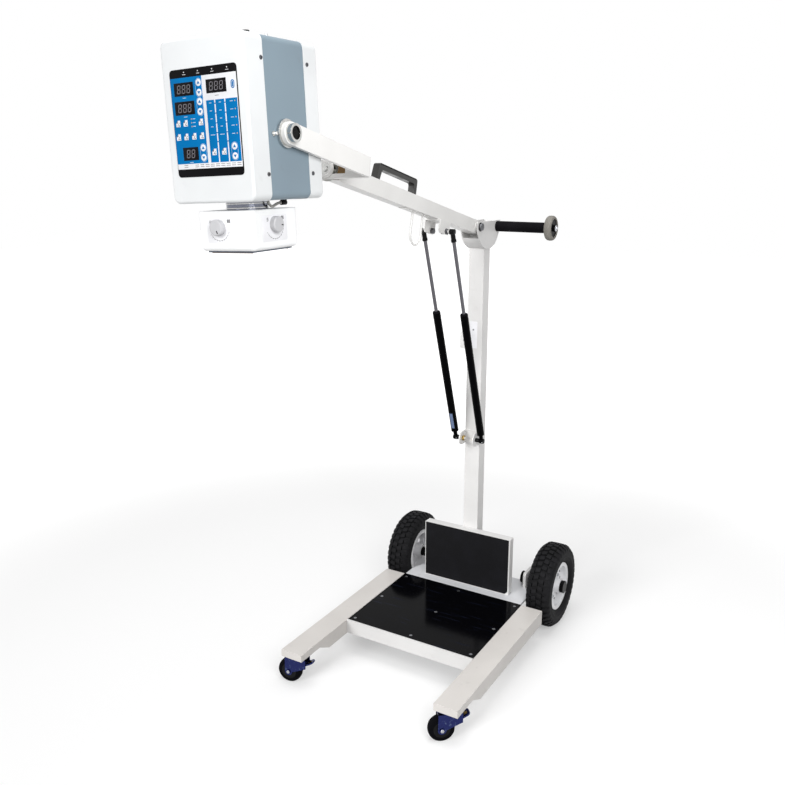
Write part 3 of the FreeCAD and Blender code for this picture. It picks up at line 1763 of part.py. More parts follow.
def build_cable_gland():
    """The strain relief under the band, with the foot that holds it."""
    y = "gland_depth - head_axle_depth"
    body = new_piece("cable_gland", place(x="gland_side", y=y, z=f"{HEAD_BOTTOM} - gland_drop", on=HEAD))
    extrude(body, "Barrel", "Y", [circle("0", "0", "gland_diameter")], "0", "gland_length")
    half = "(gland_foot / 2)"
    foot = [rectangle(f"-{half}", "gland_length / 4", half, "gland_length")]
    extrude(body, "Foot", "Z", foot, "0", "gland_drop + band_inset")


def build_head_cable():
    """The short lead below the head: straight runs joined by tangent arcs."""
    corner = FreeCAD.Vector(0, -value("head_axle_depth"), value(HEAD_BOTTOM))
    points = [FreeCAD.Vector(*point) + corner for point in CABLE_ROUTE]
    edges = []
    length = 0.0
    start = points[0]
    for before, here, after in zip(points, points[1:], points[2:]):
        way_in = (here - before).normalize()
        way_out = (after - here).normalize()
        half_turn = way_in.getAngle(way_out) / 2
        reach = CABLE_ARC_SHARE * min((here - before).Length, (after - here).Length)
        radius = reach / math.tan(half_turn)
        print(f"head_cable arc radius {radius:.1f} mm, turn {math.degrees(2 * half_turn):.0f} degrees")
        arc_start = here - way_in * reach
        arc_end = here + way_out * reach
        inward = (way_out - way_in).normalize()
        middle = here + inward * (radius / math.cos(half_turn) - radius)
        edges.append(Part.LineSegment(start, arc_start).toShape())
        edges.append(Part.Arc(arc_start, middle, arc_end).toShape())
        length += (arc_start - start).Length + radius * 2 * half_turn
        start = arc_end
    edges.append(Part.LineSegment(start, points[-1]).toShape())
    length += (points[-1] - start).Length
    wire = Part.Wire(edges)
    radius = value("cable_diameter") / 2
    direction = points[1] - points[0]
    section = Part.Wire([Part.Circle(points[0], direction, radius).toShape()])
    solid = wire.makePipeShell([section], True, True)
    expected = math.pi * radius**2 * length
    print(f"head_cable volume {solid.Volume:.1f} of {expected:.1f} cubic mm, length {length:.1f} mm")
    if abs(solid.Volume - expected) > 0.02 * expected:
        raise ValueError("head_cable: the swept tube lost its section")
    feature = document.addObject("Part::Feature", "head_cable")
    feature.Label = "head_cable"
    feature.Shape = solid
    feature.setExpression("Placement", tied(HEAD))
    pieces.append(feature)


# ---------------------------------------------------------------- casters


def build_caster_mounts():
    """Two plates under the rails' noses, each with its race, its kingpin and the kingpin's nut."""
    body = new_piece("caster_mounts", place(y=KINGPIN_Y))
    half = "(caster_plate / 2)"
    left = f"{RAIL_CENTRE} - {half}"
    right = f"{RAIL_CENTRE} + {half}"
    plate = extrude(
        body,
        "Plate",
        "Z",
        [rounded_rectangle(left, f"-{half}", right, half, "caster_plate_corner")],
        f"{NOSE_UNDERSIDE} - caster_plate_thickness",
        NOSE_UNDERSIDE,
    )
    race_top = f"{NOSE_UNDERSIDE} - caster_plate_thickness"
    race = extrude(body, "Race", "Z", [circle(RAIL_CENTRE, "0", "race_diameter")], RACE_BOTTOM, race_top)
    nut_top = f"({CROWN_BOTTOM} - face_gap)"
    nut_bottom = f"({nut_top} - kingpin_nut_height)"
    kingpin = [circle(RAIL_CENTRE, "0", "kingpin_diameter")]
    pin = extrude(body, "Kingpin", "Z", kingpin, nut_bottom, RACE_BOTTOM)
    nut = extrude(body, "Nut", "Z", [circle(RAIL_CENTRE, "0", "kingpin_nut")], nut_bottom, nut_top)
    mirror(body, "OtherMount", [plate, race, pin, nut])


def caster_frame(sign, yaw):
    """Return the place of one caster: on the floor below its kingpin, trailing along +X."""
    return place(x=f"{sign} * {RAIL_CENTRE}", y=KINGPIN_Y, angle=yaw)


def build_caster_fork(side, sign, yaw):
    """The swivelling fork, with the wheel's riveted axle and the pedal's pin between its legs."""
    body = new_piece(f"caster_fork_{side}", caster_frame(sign, yaw))
    outer = "(fork_inner_half + fork_thickness)"
    axle_z = "caster_wheel_diameter / 2"
    nose = "(caster_trail + fork_nose)"
    extrude(
        body,
        "Crown",
        "Z",
        [
            rectangle("-fork_crown_half", f"-{outer}", nose, outer),
            circle("0", "0", "kingpin_diameter + 2 * running_gap"),
        ],
        CROWN_BOTTOM,
        CROWN_TOP,
    )
    leg = extrude(
        body,
        "Leg",
        "Y",
        [
            outline(
                ("-fork_tail", CROWN_TOP),
                ("-fork_tail", f"{CROWN_TOP} - fork_tail_drop"),
                ("caster_trail - fork_end_radius", axle_z),
                ("caster_trail + fork_end_radius", axle_z),
                (nose, CROWN_TOP),
            )
        ],
        "fork_inner_half",
        outer,
    )
    end = extrude(
        body, "LegEnd", "Y", [circle("caster_trail", axle_z, "2 * fork_end_radius")], "fork_inner_half", outer
    )
    mirror(body, "OtherLeg", [leg, end], role="XZ_Plane")
    extrude(body, "Axle", "Y", [circle("caster_trail", axle_z, "caster_axle")], f"-{outer}", outer)
    rivet = [circle("caster_trail", axle_z, "caster_rivet")]
    head = extrude(body, "RivetHead", "Y", rivet, outer, f"{outer} + caster_rivet_height")
    mirror(body, "OtherRivetHead", [head], role="XZ_Plane")
    pin = [circle("-pedal_back", "pedal_height", "pedal_pin")]
    extrude(body, "PedalPin", "Y", pin, f"-{outer}", outer)


def build_caster_wheel(side, sign, yaw):
    base = place(x="caster_trail", z="caster_wheel_diameter / 2", on=caster_frame(sign, yaw))
    body = new_piece(f"caster_wheel_{side}", base)
    half = "(caster_wheel_width / 2)"
    boss = "(fork_inner_half - face_gap)"
    bore = "(caster_axle / 2 + running_gap)"
    turn(
        body,
        "Wheel",
        "Y",
        (
            (f"-{boss}", bore),
            (boss, bore),
            (boss, "caster_axle"),
            (half, "caster_axle"),
            (half, "caster_wheel_diameter / 2"),
            (f"-{half}", "caster_wheel_diameter / 2"),
            (f"-{half}", "caster_axle"),
            (f"-{boss}", "caster_axle"),
        ),
    )
    outside = value("caster_wheel_diameter / 2")
    soften(
        body,
        "TreadRound",
        "caster_tread",
        lambda edge: isinstance(edge.Curve, Part.Circle) and abs(edge.Curve.Radius - outside) < 0.01,
    )


def build_caster_pedal(side, sign, yaw):
    """The brake pedal: a barrel on the fork's pin and a slotted lever that rises to its round tip."""
    hinge = place(x="-pedal_back", z="pedal_height", on=caster_frame(sign, yaw))
    body = new_piece(f"caster_pedal_{side}", place(axis="0; 1; 0", angle="pedal_rise", on=hinge))
    half = "(fork_inner_half - face_gap)"
    lever = [
        rectangle("-pedal_length", f"-{half}", "-pedal_pin / 2 - join_depth", half),
        rectangle(
            "pedal_rim - pedal_length", "-pedal_slot / 2", "-pedal_barrel / 2 - pedal_rim", "pedal_slot / 2"
        ),
    ]
    extrude(body, "Lever", "Z", lever, "-pedal_thickness / 2", "pedal_thickness / 2")
    def at_the_tip(edge):
        return edge.CenterOfMass.x < value("pedal_rim / 2 - pedal_length")

    soften(body, "TipCorners", "pedal_corner", both(runs_along("Z"), at_the_tip))
    ring = [circle("0", "0", "pedal_barrel"), circle("0", "0", "pedal_pin + 2 * running_gap")]
    extrude(body, "Barrel", "Y", ring, f"-{half}", half)


# ---------------------------------------------------------------- assembly


def build_unit():
    """Build every sub-part of the unit at its own place."""
    fill_sheet()
    for side, sign, turned in (("left", "-1", "180"), ("right", "1", "0")):
        wheel = place(x=f"{sign} * {WHEEL_CENTRE}", y=AXLE_Y, z=AXLE_Z, angle=turned)
        build_tyre(side, wheel)
        build_rim(side, wheel)
        build_side_rail(side, sign)
        build_strut_tube(side, sign)
        build_strut_rod(side, sign)
        yaw = f"{side}_yaw"
        build_caster_fork(side, sign, yaw)
        build_caster_wheel(side, sign, yaw)
        build_caster_pedal(side, sign, yaw)
    build_wheel_axles()
    build_axle_brackets()
    build_cross_members()
    build_rear_deck()
    build_foot_plate()
    build_foot_plate_screws()
    build_caster_mounts()
    build_column()
    build_pad_box()
    build_rubber_pad()
    build_counterweight()
    build_lower_strut_bracket()
    build_column_cheeks()
    build_cheek_wrap()
    build_arm_pivot_bolt()
    build_grip_rod()
    build_grip_sleeve()
    build_end_wheel()
    build_arm_beam()
    build_carry_handle()
    build_cable_hook()
    build_upper_strut_bracket()
    build_swivel_shaft()
    build_friction_plate()
    build_yoke_frame()
    build_yoke_bushings()
    build_front_shell()
    build_centre_band()
    build_top_fittings()
    build_rear_shell()
    build_control_panel()
    build_head_trunnions()
    build_tube_housing()
    build_neck_ring()
    build_collimator_housing()
    build_collimator_window()
    front_knob = place(x="-front_knob_side", y=BOX_FRONT, z=FRONT_KNOB_Z, on=HEAD)
    build_knob("knob_front", "Y", "-1", front_knob)
    side_knob = place(x="collimator_width / 2", y=SIDE_KNOB_Y, z=SIDE_KNOB_Z, on=HEAD)
    build_knob("knob_side", "X", "1", side_knob)
    build_blade("blade_right", 0, "0")
    build_blade("blade_left", 0, "180")
    build_blade("blade_rear", 1, "90")
    build_blade("blade_front", 1, "-90")
    build_cable_gland()
    build_head_cable()


def check_document():
    """Stop when an object failed to build or a sub-part has no sound shape."""
    document.recompute()
    for item in document.Objects:
        if "Invalid" in item.State or "Error" in item.State:
            raise ValueError(f"{item.Label} failed: {item.State}")
    for piece in pieces:
        if piece.Shape.isNull() or not piece.Shape.isValid():
            raise ValueError(f"{piece.Label} has no valid shape")


def write_steps():
    """Write each sub-part to its own file."""
    os.makedirs("parts", exist_ok=True)
    for piece in pieces:
        piece.Shape.exportStep(f"parts/{piece.Label}.step")


build_unit()
check_document()
write_steps()
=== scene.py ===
"""A mobile X-ray unit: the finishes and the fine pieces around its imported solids.

Lengths in the classes are millimetres in the part's own frame, whose origin is on the floor: X runs
to the push grip's side, Y to the rear wheels and Z up. A piece's points become metres when its mesh
is made. The places of the arm, the head and the casters come from the record's joints.
"""

import json
import logging
import math
from collections.abc import Sequence
from dataclasses import dataclass
from enum import Enum
from typing import Any, ClassVar

import bpy
import numpy as np
from mathutils import Matrix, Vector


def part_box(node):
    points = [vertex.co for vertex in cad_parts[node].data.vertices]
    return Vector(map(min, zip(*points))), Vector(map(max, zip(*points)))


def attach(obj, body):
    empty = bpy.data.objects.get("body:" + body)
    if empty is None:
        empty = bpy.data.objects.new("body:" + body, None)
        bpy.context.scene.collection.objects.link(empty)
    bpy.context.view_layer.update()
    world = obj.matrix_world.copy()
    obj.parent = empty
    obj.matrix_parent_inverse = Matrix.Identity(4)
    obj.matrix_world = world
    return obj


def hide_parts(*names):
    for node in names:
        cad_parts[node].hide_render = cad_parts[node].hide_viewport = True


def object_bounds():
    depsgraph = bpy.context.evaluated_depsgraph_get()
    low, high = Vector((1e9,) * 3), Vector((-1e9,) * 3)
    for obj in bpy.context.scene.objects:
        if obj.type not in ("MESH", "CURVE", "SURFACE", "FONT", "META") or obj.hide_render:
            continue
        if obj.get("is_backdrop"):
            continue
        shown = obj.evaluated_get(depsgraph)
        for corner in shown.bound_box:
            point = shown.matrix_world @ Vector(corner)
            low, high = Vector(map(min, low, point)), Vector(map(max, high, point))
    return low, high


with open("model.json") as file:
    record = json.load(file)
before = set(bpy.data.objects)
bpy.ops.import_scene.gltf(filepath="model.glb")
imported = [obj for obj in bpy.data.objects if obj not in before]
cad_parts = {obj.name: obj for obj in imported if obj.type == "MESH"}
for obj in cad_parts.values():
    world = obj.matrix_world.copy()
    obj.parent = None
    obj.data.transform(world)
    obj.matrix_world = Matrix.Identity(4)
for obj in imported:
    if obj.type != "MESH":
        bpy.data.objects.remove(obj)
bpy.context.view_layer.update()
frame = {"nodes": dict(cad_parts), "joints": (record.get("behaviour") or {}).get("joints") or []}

METRES = 0.001
TURN = 2 * math.pi
ARC_STEP = 6.0
JOINTS = {joint["name"]: joint for joint in frame["joints"]}

log = logging.getLogger("unit")


# ---------------------------------------------------------------- places


@dataclass(frozen=True)
class Place:
    """A right-handed frame inside the part's own: where it starts and which ways its axes run."""

    origin: np.ndarray
    axes: np.ndarray

    def out(self, points: np.ndarray) -> np.ndarray:
        """Carry points of this place into the part's frame: origin plus each number times its axis."""
        return self.origin + np.asarray(points, float) @ self.axes.T

    def moved(self, x: float = 0.0, y: float = 0.0, z: float = 0.0) -> "Place":
        """Return the same axes at another point of this place."""
        return Place(self.out(np.array([x, y, z])), self.axes)

    def facing(self, axis: str) -> "Place":
        """Return this place turned so that its Z runs along one of its axes.

        Args:
            axis: The axis to face, such as "+X" or "-Y".

        Returns:
            A place at the same point whose Y is this place's Z, or its Y where it faces along Z.
        """
        normal = self.axes[:, "XYZ".index(axis[1])] * (1 if axis[0] == "+" else -1)
        up = self.axes[:, 1] if axis[1] == "Z" else self.axes[:, 2]
        return Place(self.origin, np.column_stack([np.cross(up, normal), up, normal]))

    def turned(self, degrees: float) -> "Place":
        """Return this place turned about its own Z."""
        cosine, sine = math.cos(math.radians(degrees)), math.sin(math.radians(degrees))
        spin = np.array([[cosine, -sine, 0], [sine, cosine, 0], [0, 0, 1]])
        return Place(self.origin, self.axes @ spin)


def unit(vector: Sequence[float]) -> np.ndarray:
    """Return a vector with its length made one."""
    array = np.asarray(vector, float)
    return array / np.linalg.norm(array)


def squared(origin: Sequence[float], x_axis: Sequence[float], y_axis: Sequence[float]) -> Place:
    """Make a place from an X axis and a rough Y axis.

    Args:
        origin: The place's own zero, in millimetres of the part's frame.
        x_axis: The way X runs.
        y_axis: About the way Y runs; what it has along X is taken off.

    Returns:
        A place with square axes.
    """
    x_way = unit(x_axis)
    y_way = unit(np.asarray(y_axis, float) - np.dot(y_axis, x_way) * x_way)
    return Place(np.asarray(origin, float), np.column_stack([x_way, y_way, np.cross(x_way, y_way)]))


def joint_point(name: str) -> np.ndarray:
    """Return the point on a joint's axis that the record gives, in millimetres."""
    return np.array(JOINTS[name]["pos_m"]) / METRES


def joint_place(name: str) -> Place:
    """Return a joint's point with the part's own axes."""
    return Place(joint_point(name), np.eye(3))


def joint_axis(name: str) -> np.ndarray:
    """Return the way a joint's axis runs."""
    return unit(JOINTS[name]["axis"])


def node_box(node: str) -> tuple[np.ndarray, np.ndarray]:
    """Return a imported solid's lowest and highest corners, in millimetres."""
    low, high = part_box(node)
    return np.array(low) / METRES, np.array(high) / METRES


SIDES = (("left", "-X"), ("right", "+X"))
CART = Place(np.zeros(3), np.eye(3))
ARM = squared(joint_point("arm_lift"), joint_axis("arm_lift"), -joint_axis("yoke_roll"))
HEAD = squared(joint_point("head_tilt"), joint_axis("head_tilt"), joint_axis("blade_rear_slide"))


def caster_place(side: str) -> Place:
    """Return a caster wheel's centre, with X trailing from the kingpin and Y along its axle."""
    axle = joint_axis(f"caster_wheel_{side}_spin")
    return squared(joint_point(f"caster_wheel_{side}_spin"), np.cross(axle, [0, 0, 1]), axle)


def strut_place(side: str) -> Place:
    """Return a gas spring's lower ball, with Z up along its rod and X to the grip's side."""
    along = joint_axis(f"strut_rod_{side}_slide")
    return squared(joint_point(f"strut_tube_{side}_lean"), [1, 0, 0], np.cross(along, [1, 0, 0]))


# ---------------------------------------------------------------- surfaces


@dataclass(frozen=True)
class Shell:
    """A surface: its points in the part's frame, its quads, and the flat faces that close its ends."""

    points: np.ndarray
    quads: np.ndarray
    caps: tuple[np.ndarray, ...] = ()

    def volume(self) -> float:
        """Return the signed volume: a sixth of the triple products of each face's fan of corners."""
        corners = self.points[self.quads]
        total = 0.0
        for k in (1, 2):
            total += float((corners[:, 0] * np.cross(corners[:, k], corners[:, k + 1])).sum())
        for cap in self.caps:
            rim = self.points[cap]
            total += float((rim[0] * np.cross(rim[1:-1], rim[2:])).sum())
        return total / 6

    def outward(self) -> "Shell":
        """Return the shell with every face turned outwards."""
        if self.volume() >= 0:
            return self
        return Shell(self.points, self.quads[:, ::-1], tuple(cap[::-1] for cap in self.caps))


def grid(points: np.ndarray, ring_rows: bool = False, capped: bool = False) -> Shell:
    """Join rows of points into quads; each row is a closed loop.

    Args:
        points: Rows by columns by three.
        ring_rows: Whether the last row joins the first.
        capped: Whether the first and the last rows are closed by flat faces.

    Returns:
        The shell, turned outwards.
    """
    rows, columns = points.shape[:2]
    numbers = np.arange(rows * columns).reshape(rows, columns)
    wide = np.hstack([numbers, numbers[:, :1]])
    tall = np.vstack([wide, wide[:1]]) if ring_rows else wide
    corners = [tall[:-1, :-1], tall[1:, :-1], tall[1:, 1:], tall[:-1, 1:]]
    caps = (numbers[0], numbers[-1][::-1]) if capped else ()
    return Shell(points.reshape(-1, 3), np.stack(corners, axis=-1).reshape(-1, 4), caps).outward()


@dataclass(frozen=True)
class Disc:
    """A round outline about a place's Z."""

    radius: float
    steps: int = 32

    def loop(self, inset: float = 0.0) -> np.ndarray:
        """Return the circle drawn in by an inset: radius times (cosine, sine) of even angles."""
        angle = np.arange(self.steps) * TURN / self.steps
        ring = np.column_stack([np.cos(angle), np.sin(angle)])
        return (self.radius - inset) * ring


@dataclass(frozen=True)
class Tablet:
    """A rectangle with rounded corners, from its low corner to its high one."""

    low: tuple[float, float]
    high: tuple[float, float]
    corner: float = 0.5
    steps: int = 4

    def loop(self, inset: float = 0.0) -> np.ndarray:
        """Return the outline drawn in by an inset: quarter circles round the four corners' centres."""
        low, high = np.array(self.low, float), np.array(self.high, float)
        radius = max(self.corner - inset, 0.02)
        reach = (high - low) / 2 - inset - radius
        quarter = np.linspace(0, TURN / 4, self.steps)
        angle = np.concatenate([quarter + k * TURN / 4 for k in range(4)])
        signs = np.repeat([[1, 1], [-1, 1], [-1, -1], [1, -1]], self.steps, axis=0)
        return (low + high) / 2 + signs * reach + radius * np.column_stack([np.cos(angle), np.sin(angle)])


@dataclass(frozen=True)
class Corners:
    """A convex outline of straight edges, given anticlockwise."""

    points: tuple[tuple[float, float], ...]

    def loop(self, inset: float = 0.0) -> np.ndarray:
        """Return the outline with each edge moved in: its corners lie where the moved edges cross."""
        here = np.array(self.points, float)
        along = np.roll(here, -1, axis=0) - here
        along /= np.linalg.norm(along, axis=1, keepdims=True)
        start = here + inset * np.column_stack([-along[:, 1], along[:, 0]])
        before = np.roll(along, 1, axis=0)
        gap = start - np.roll(start, 1, axis=0)
        cross = before[:, 0] * along[:, 1] - before[:, 1] * along[:, 0]
        share = (gap[:, 0] * along[:, 1] - gap[:, 1] * along[:, 0]) / cross
        return np.roll(start, 1, axis=0) + share[:, None] * before


Outline = Disc | Tablet | Corners
Point = tuple[float, float]
Profile = Sequence[Point]


def hexagon(across: float) -> Corners:
    """Return a hexagon by its width across flats: six corners at even angles."""
    angle = np.arange(6) * TURN / 6
    ring = across / math.sqrt(3) * np.column_stack([np.cos(angle), np.sin(angle)])
    return Corners(tuple(map(tuple, ring)))


def stacked(place: Place, outline: Outline, rows: Profile) -> Shell:
    """Close a shell through an outline at several heights, given as rows of (inset, height)."""
    layers = []
    for inset, height in rows:
        loop = outline.loop(inset)
        layers.append(np.column_stack([loop, np.full(len(loop), height)]))
    return grid(place.out(np.stack(layers)), capped=True)


def slab(place: Place, outline: Outline, low: float, high: float, eased: float = 0.0) -> Shell:
    """Carry an outline up a place's Z, with its upper rim eased over.

    Args:
        place: The frame whose X and Y the outline is drawn in.
        outline: The outline, which draws itself in by an inset.
        low: Where the slab starts along Z.
        high: Where it ends.
        eased: The radius of the quarter round along its upper rim.

    Returns:
        A closed shell: the eased rows draw in by radius times (1 - cosine) as their height rises
        by radius times sine.
    """
    rows = [(0.0, low), (0.0, high)]
    if eased > 0:
        rows.pop()
        for angle in np.linspace(0, TURN / 4, 4):
            rows.append((eased * (1 - math.cos(angle)), high - eased * (1 - math.sin(angle))))
    return stacked(place, outline, rows)


def lathe(place: Place, profile: Profile, steps: int = 48, ring: bool = False) -> Shell:
    """Turn a profile about a place's Z: each point is (radius cos a, radius sin a, station).

    Args:
        place: The frame whose Z is the axis.
        profile: Points of (radius, station) in order.
        steps: How many points go round.
        ring: Whether the profile is a closed loop, which makes a ring with no flat ends.

    Returns:
        A closed shell.
    """
    radius, station = np.array(profile, float).T
    angle = np.arange(steps) * TURN / steps
    x = radius[:, None] * np.cos(angle)
    y = radius[:, None] * np.sin(angle)
    z = np.repeat(station[:, None], steps, axis=1)
    return grid(place.out(np.stack([x, y, z], axis=-1)), ring_rows=ring, capped=not ring)


def arc_band(
    place: Place, inner: float, outer: float, start: float, end: float, low: float, high: float
) -> Shell:
    """Carry a small rectangle round part of a circle about a place's Z.

    Args:
        place: The frame whose Z is the axis.
        inner: The band's inner radius.
        outer: Its outer radius.
        start: The angle in degrees where it starts.
        end: The angle where it ends.
        low: Its lower height.
        high: Its upper height.

    Returns:
        A closed shell: each row holds the rectangle's corners at one angle between start and end.
    """
    rows = max(2, int(abs(end - start) / ARC_STEP) + 1)
    angle = np.radians(np.linspace(start, end, rows))
    radius = np.array([inner, outer, outer, inner])
    height = np.array([low, low, high, high])
    x = np.cos(angle)[:, None] * radius
    y = np.sin(angle)[:, None] * radius
    z = np.repeat(height[None, :], len(angle), axis=0)
    return grid(place.out(np.stack([x, y, z], axis=-1)), capped=True)


# ---------------------------------------------------------------- finishes


def linear(colour: str) -> tuple[float, float, float, float]:
    """Return an sRGB hex colour as linear light, by the standard's own curve."""
    channel = np.array([int(colour[k : k + 2], 16) for k in (1, 3, 5)]) / 255
    light = np.where(channel <= 0.04045, channel / 12.92, ((channel + 0.055) / 1.055) ** 2.4)
    return (*light.tolist(), 1.0)


def shaded(colour: str, share: float) -> str:
    """Return a hex colour with each of its channels times a share."""
    channel = [min(255, round(int(colour[k : k + 2], 16) * share)) for k in (1, 3, 5)]
    return "#" + "".join(f"{level:02x}" for level in channel)


def add_node(tree: bpy.types.NodeTree, kind: str, inputs: dict[str | int, Any], **settings: Any) -> Any:
    """Add a shader node, set it up and link it.

    Args:
        tree: The material's node tree.
        kind: The node's kind, without Blender's prefix.
        inputs: Each input's number or colour, or the output socket that feeds it.
        **settings: The node's own choices, such as its operation.

    Returns:
        The node.
    """
    node = tree.nodes.new("ShaderNode" + kind)
    for name, choice in settings.items():
        setattr(node, name, choice)
    for name, given in inputs.items():
        if isinstance(given, bpy.types.NodeSocket):
            tree.links.new(given, node.inputs[name])
        else:
            node.inputs[name].default_value = given
    return node


MIX_A, MIX_B, MIX_COLOUR = 6, 7, 2


@dataclass(frozen=True)
class Finish:
    """What every finish has: a name that says the real material and any painted light, a colour and a gloss.
    """

    name: str
    colour: str
    roughness: float = 0.5
    sheen_level: float = 0.5
    made: ClassVar[dict[str, bpy.types.Material]] = {}

    def material(self) -> bpy.types.Material:
        """Return the finish's material, made once from Object coordinates and its own dressing."""
        if self.name not in self.made:
            material = bpy.data.materials.new(self.name)
            material.use_nodes = True
            tree = material.node_tree
            tree.nodes.clear()
            shader = add_node(tree, "BsdfPrincipled", {"Base Color": linear(self.colour)})
            shader.inputs["Roughness"].default_value = self.roughness
            shader.inputs["Specular IOR Level"].default_value = self.sheen_level
            add_node(tree, "OutputMaterial", {"Surface": shader.outputs[0]})
            spot = add_node(tree, "TexCoord", {}).outputs["Object"]
            self.dress(tree, shader, spot)
            self.made[self.name] = material
        return self.made[self.name]

    def dress(self, tree: bpy.types.NodeTree, shader: Any, spot: Any) -> None:
        """Add what the finish shows beside its colour; each kind of finish has its own."""
        raise NotImplementedError


def grain(
    tree: bpy.types.NodeTree, spot: Any, size: float, low: float, high: float, detail: float = 2.0
) -> Any:
    """Return a patchy pattern as a number from 0 to 1.

    Args:
        tree: The material's node tree.
        spot: The coordinates' socket, in metres.
        size: The patches' size in millimetres.
        low: The noise level that becomes 0.
        high: The noise level that becomes 1.
        detail: How many finer layers the noise has.

    Returns:
        The socket of the stretched noise.
    """
    scale = 1 / (size * METRES)
    noise = add_node(tree, "TexNoise", {"Vector": spot, "Scale": scale, "Detail": detail})
    spread = {"Value": noise.outputs["Fac"], "From Min": low, "From Max": high}
    return add_node(tree, "MapRange", spread).outputs[0]


def tinted(tree: bpy.types.NodeTree, factor: Any, below: Any, above: Any) -> Any:
    """Return a colour that goes from one to another with a pattern.

    Args:
        tree: The material's node tree.
        factor: The pattern's socket.
        below: The colour, or its socket, where the pattern is 0.
        above: The colour, or its socket, where it is 1.

    Returns:
        The mixed colour's socket.
    """
    mix = add_node(tree, "Mix", {0: factor, MIX_A: below, MIX_B: above}, data_type="RGBA")
    return mix.outputs[MIX_COLOUR]


def raised(tree: bpy.types.NodeTree, shader: Any, height: Any, depth: float, edge: float = 0.0) -> None:
    """Give a shader a fine relief over softened edges.

    Args:
        tree: The material's node tree.
        shader: The shader that gets the relief.
        height: The pattern's socket.
        depth: How deep the pattern goes, in millimetres.
        edge: The radius that sharp edges are softened to, in millimetres.
    """
    relief = {"Height": height, "Strength": 1.0, "Distance": depth * METRES}
    if edge > 0:
        relief["Normal"] = add_node(tree, "Bevel", {"Radius": edge * METRES}, samples=4).outputs[0]
    tree.links.new(add_node(tree, "Bump", relief).outputs[0], shader.inputs["Normal"])


@dataclass(frozen=True)
class PowderCoat(Finish):
    """Baked powder paint: a fine orange peel, a slight drift of tone and softened edges."""

    roughness: float = 0.38
    drift: float = 0.965
    peel: float = 1.3
    peel_depth: float = 0.006
    grime: str = "#8d8a86"
    grime_share: float = 0.10
    edge: float = 0.7

    def dress(self, tree: bpy.types.NodeTree, shader: Any, spot: Any) -> None:
        """Drift the tone over a hand's width, add faint handling marks and the peel's relief."""
        drift = grain(tree, spot, 150, 0.35, 0.65)
        tone = tinted(tree, drift, linear(shaded(self.colour, self.drift)), linear(self.colour))
        marks = grain(tree, spot, 24, 0.63, 0.80, 6.0)
        faint = add_node(tree, "Math", {0: marks, 1: self.grime_share}, operation="MULTIPLY").outputs[0]
        colour = tinted(tree, faint, tone, linear(self.grime))
        tree.links.new(colour, shader.inputs["Base Color"])
        dull = {"Value": marks, "To Min": self.roughness, "To Max": self.roughness + 0.2}
        tree.links.new(add_node(tree, "MapRange", dull).outputs[0], shader.inputs["Roughness"])
        raised(tree, shader, grain(tree, spot, self.peel, 0.2, 0.8), self.peel_depth, self.edge)


class Lay(Enum):
    """Which way the tool marks on a metal run."""

    ALONG_X = (1.0, 22.0, 22.0)
    ALONG_Z = (22.0, 22.0, 1.0)
    NONE = (1.0, 1.0, 1.0)


@dataclass(frozen=True)
class Metal(Finish):
    """Bare or plated metal: tool marks along one way, clouded gloss and small stains."""

    roughness: float = 0.3
    lay: Lay = Lay.NONE
    mark: float = 6.0
    mark_depth: float = 0.004
    stain: str = "#5b554c"
    stain_share: float = 0.35
    edge: float = 0.25

    def dress(self, tree: bpy.types.NodeTree, shader: Any, spot: Any) -> None:
        """Stretch fine noise along the lay for marks, cloud the roughness and add stains."""
        shader.inputs["Metallic"].default_value = 1.0
        stretch = add_node(tree, "Mapping", {"Vector": spot, "Scale": self.lay.value}).outputs[0]
        marks = grain(tree, stretch, self.mark, 0.3, 0.7, 4.0)
        stains = grain(tree, spot, 9, 0.58, 0.80, 5.0)
        faint = add_node(tree, "Math", {0: stains, 1: self.stain_share}, operation="MULTIPLY").outputs[0]
        bright = tinted(tree, marks, linear(shaded(self.colour, 0.9)), linear(self.colour))
        tree.links.new(tinted(tree, faint, bright, linear(self.stain)), shader.inputs["Base Color"])
        cloud = {"Value": marks, "To Min": self.roughness * 0.8, "To Max": self.roughness * 1.25}
        tree.links.new(add_node(tree, "MapRange", cloud).outputs[0], shader.inputs["Roughness"])
        raised(tree, shader, marks, self.mark_depth, self.edge)


@dataclass(frozen=True)
class Rubber(Finish):
    """Moulded rubber: a matt, finely pitted skin with pale dust in patches."""

    roughness: float = 0.72
    sheen_level: float = 0.16
    pit: float = 0.8
    pit_depth: float = 0.03
    dust: str = "#5a5753"
    dust_share: float = 0.22
    edge: float = 0.4

    def dress(self, tree: bpy.types.NodeTree, shader: Any, spot: Any) -> None:
        """Lay dust in soft patches, broken by fine grain, and pit the skin."""
        pits = grain(tree, spot, self.pit, 0.25, 0.75)
        patches = grain(tree, spot, 45, 0.42, 0.72, 5.0)
        faint = add_node(tree, "Math", {0: patches, 1: self.dust_share}, operation="MULTIPLY").outputs[0]
        colour = tinted(tree, faint, linear(self.colour), linear(self.dust))
        tree.links.new(colour, shader.inputs["Base Color"])
        dull = {"Value": pits, "To Min": self.roughness - 0.08, "To Max": self.roughness + 0.1}
        tree.links.new(add_node(tree, "MapRange", dull).outputs[0], shader.inputs["Roughness"])
        raised(tree, shader, pits, self.pit_depth, self.edge)


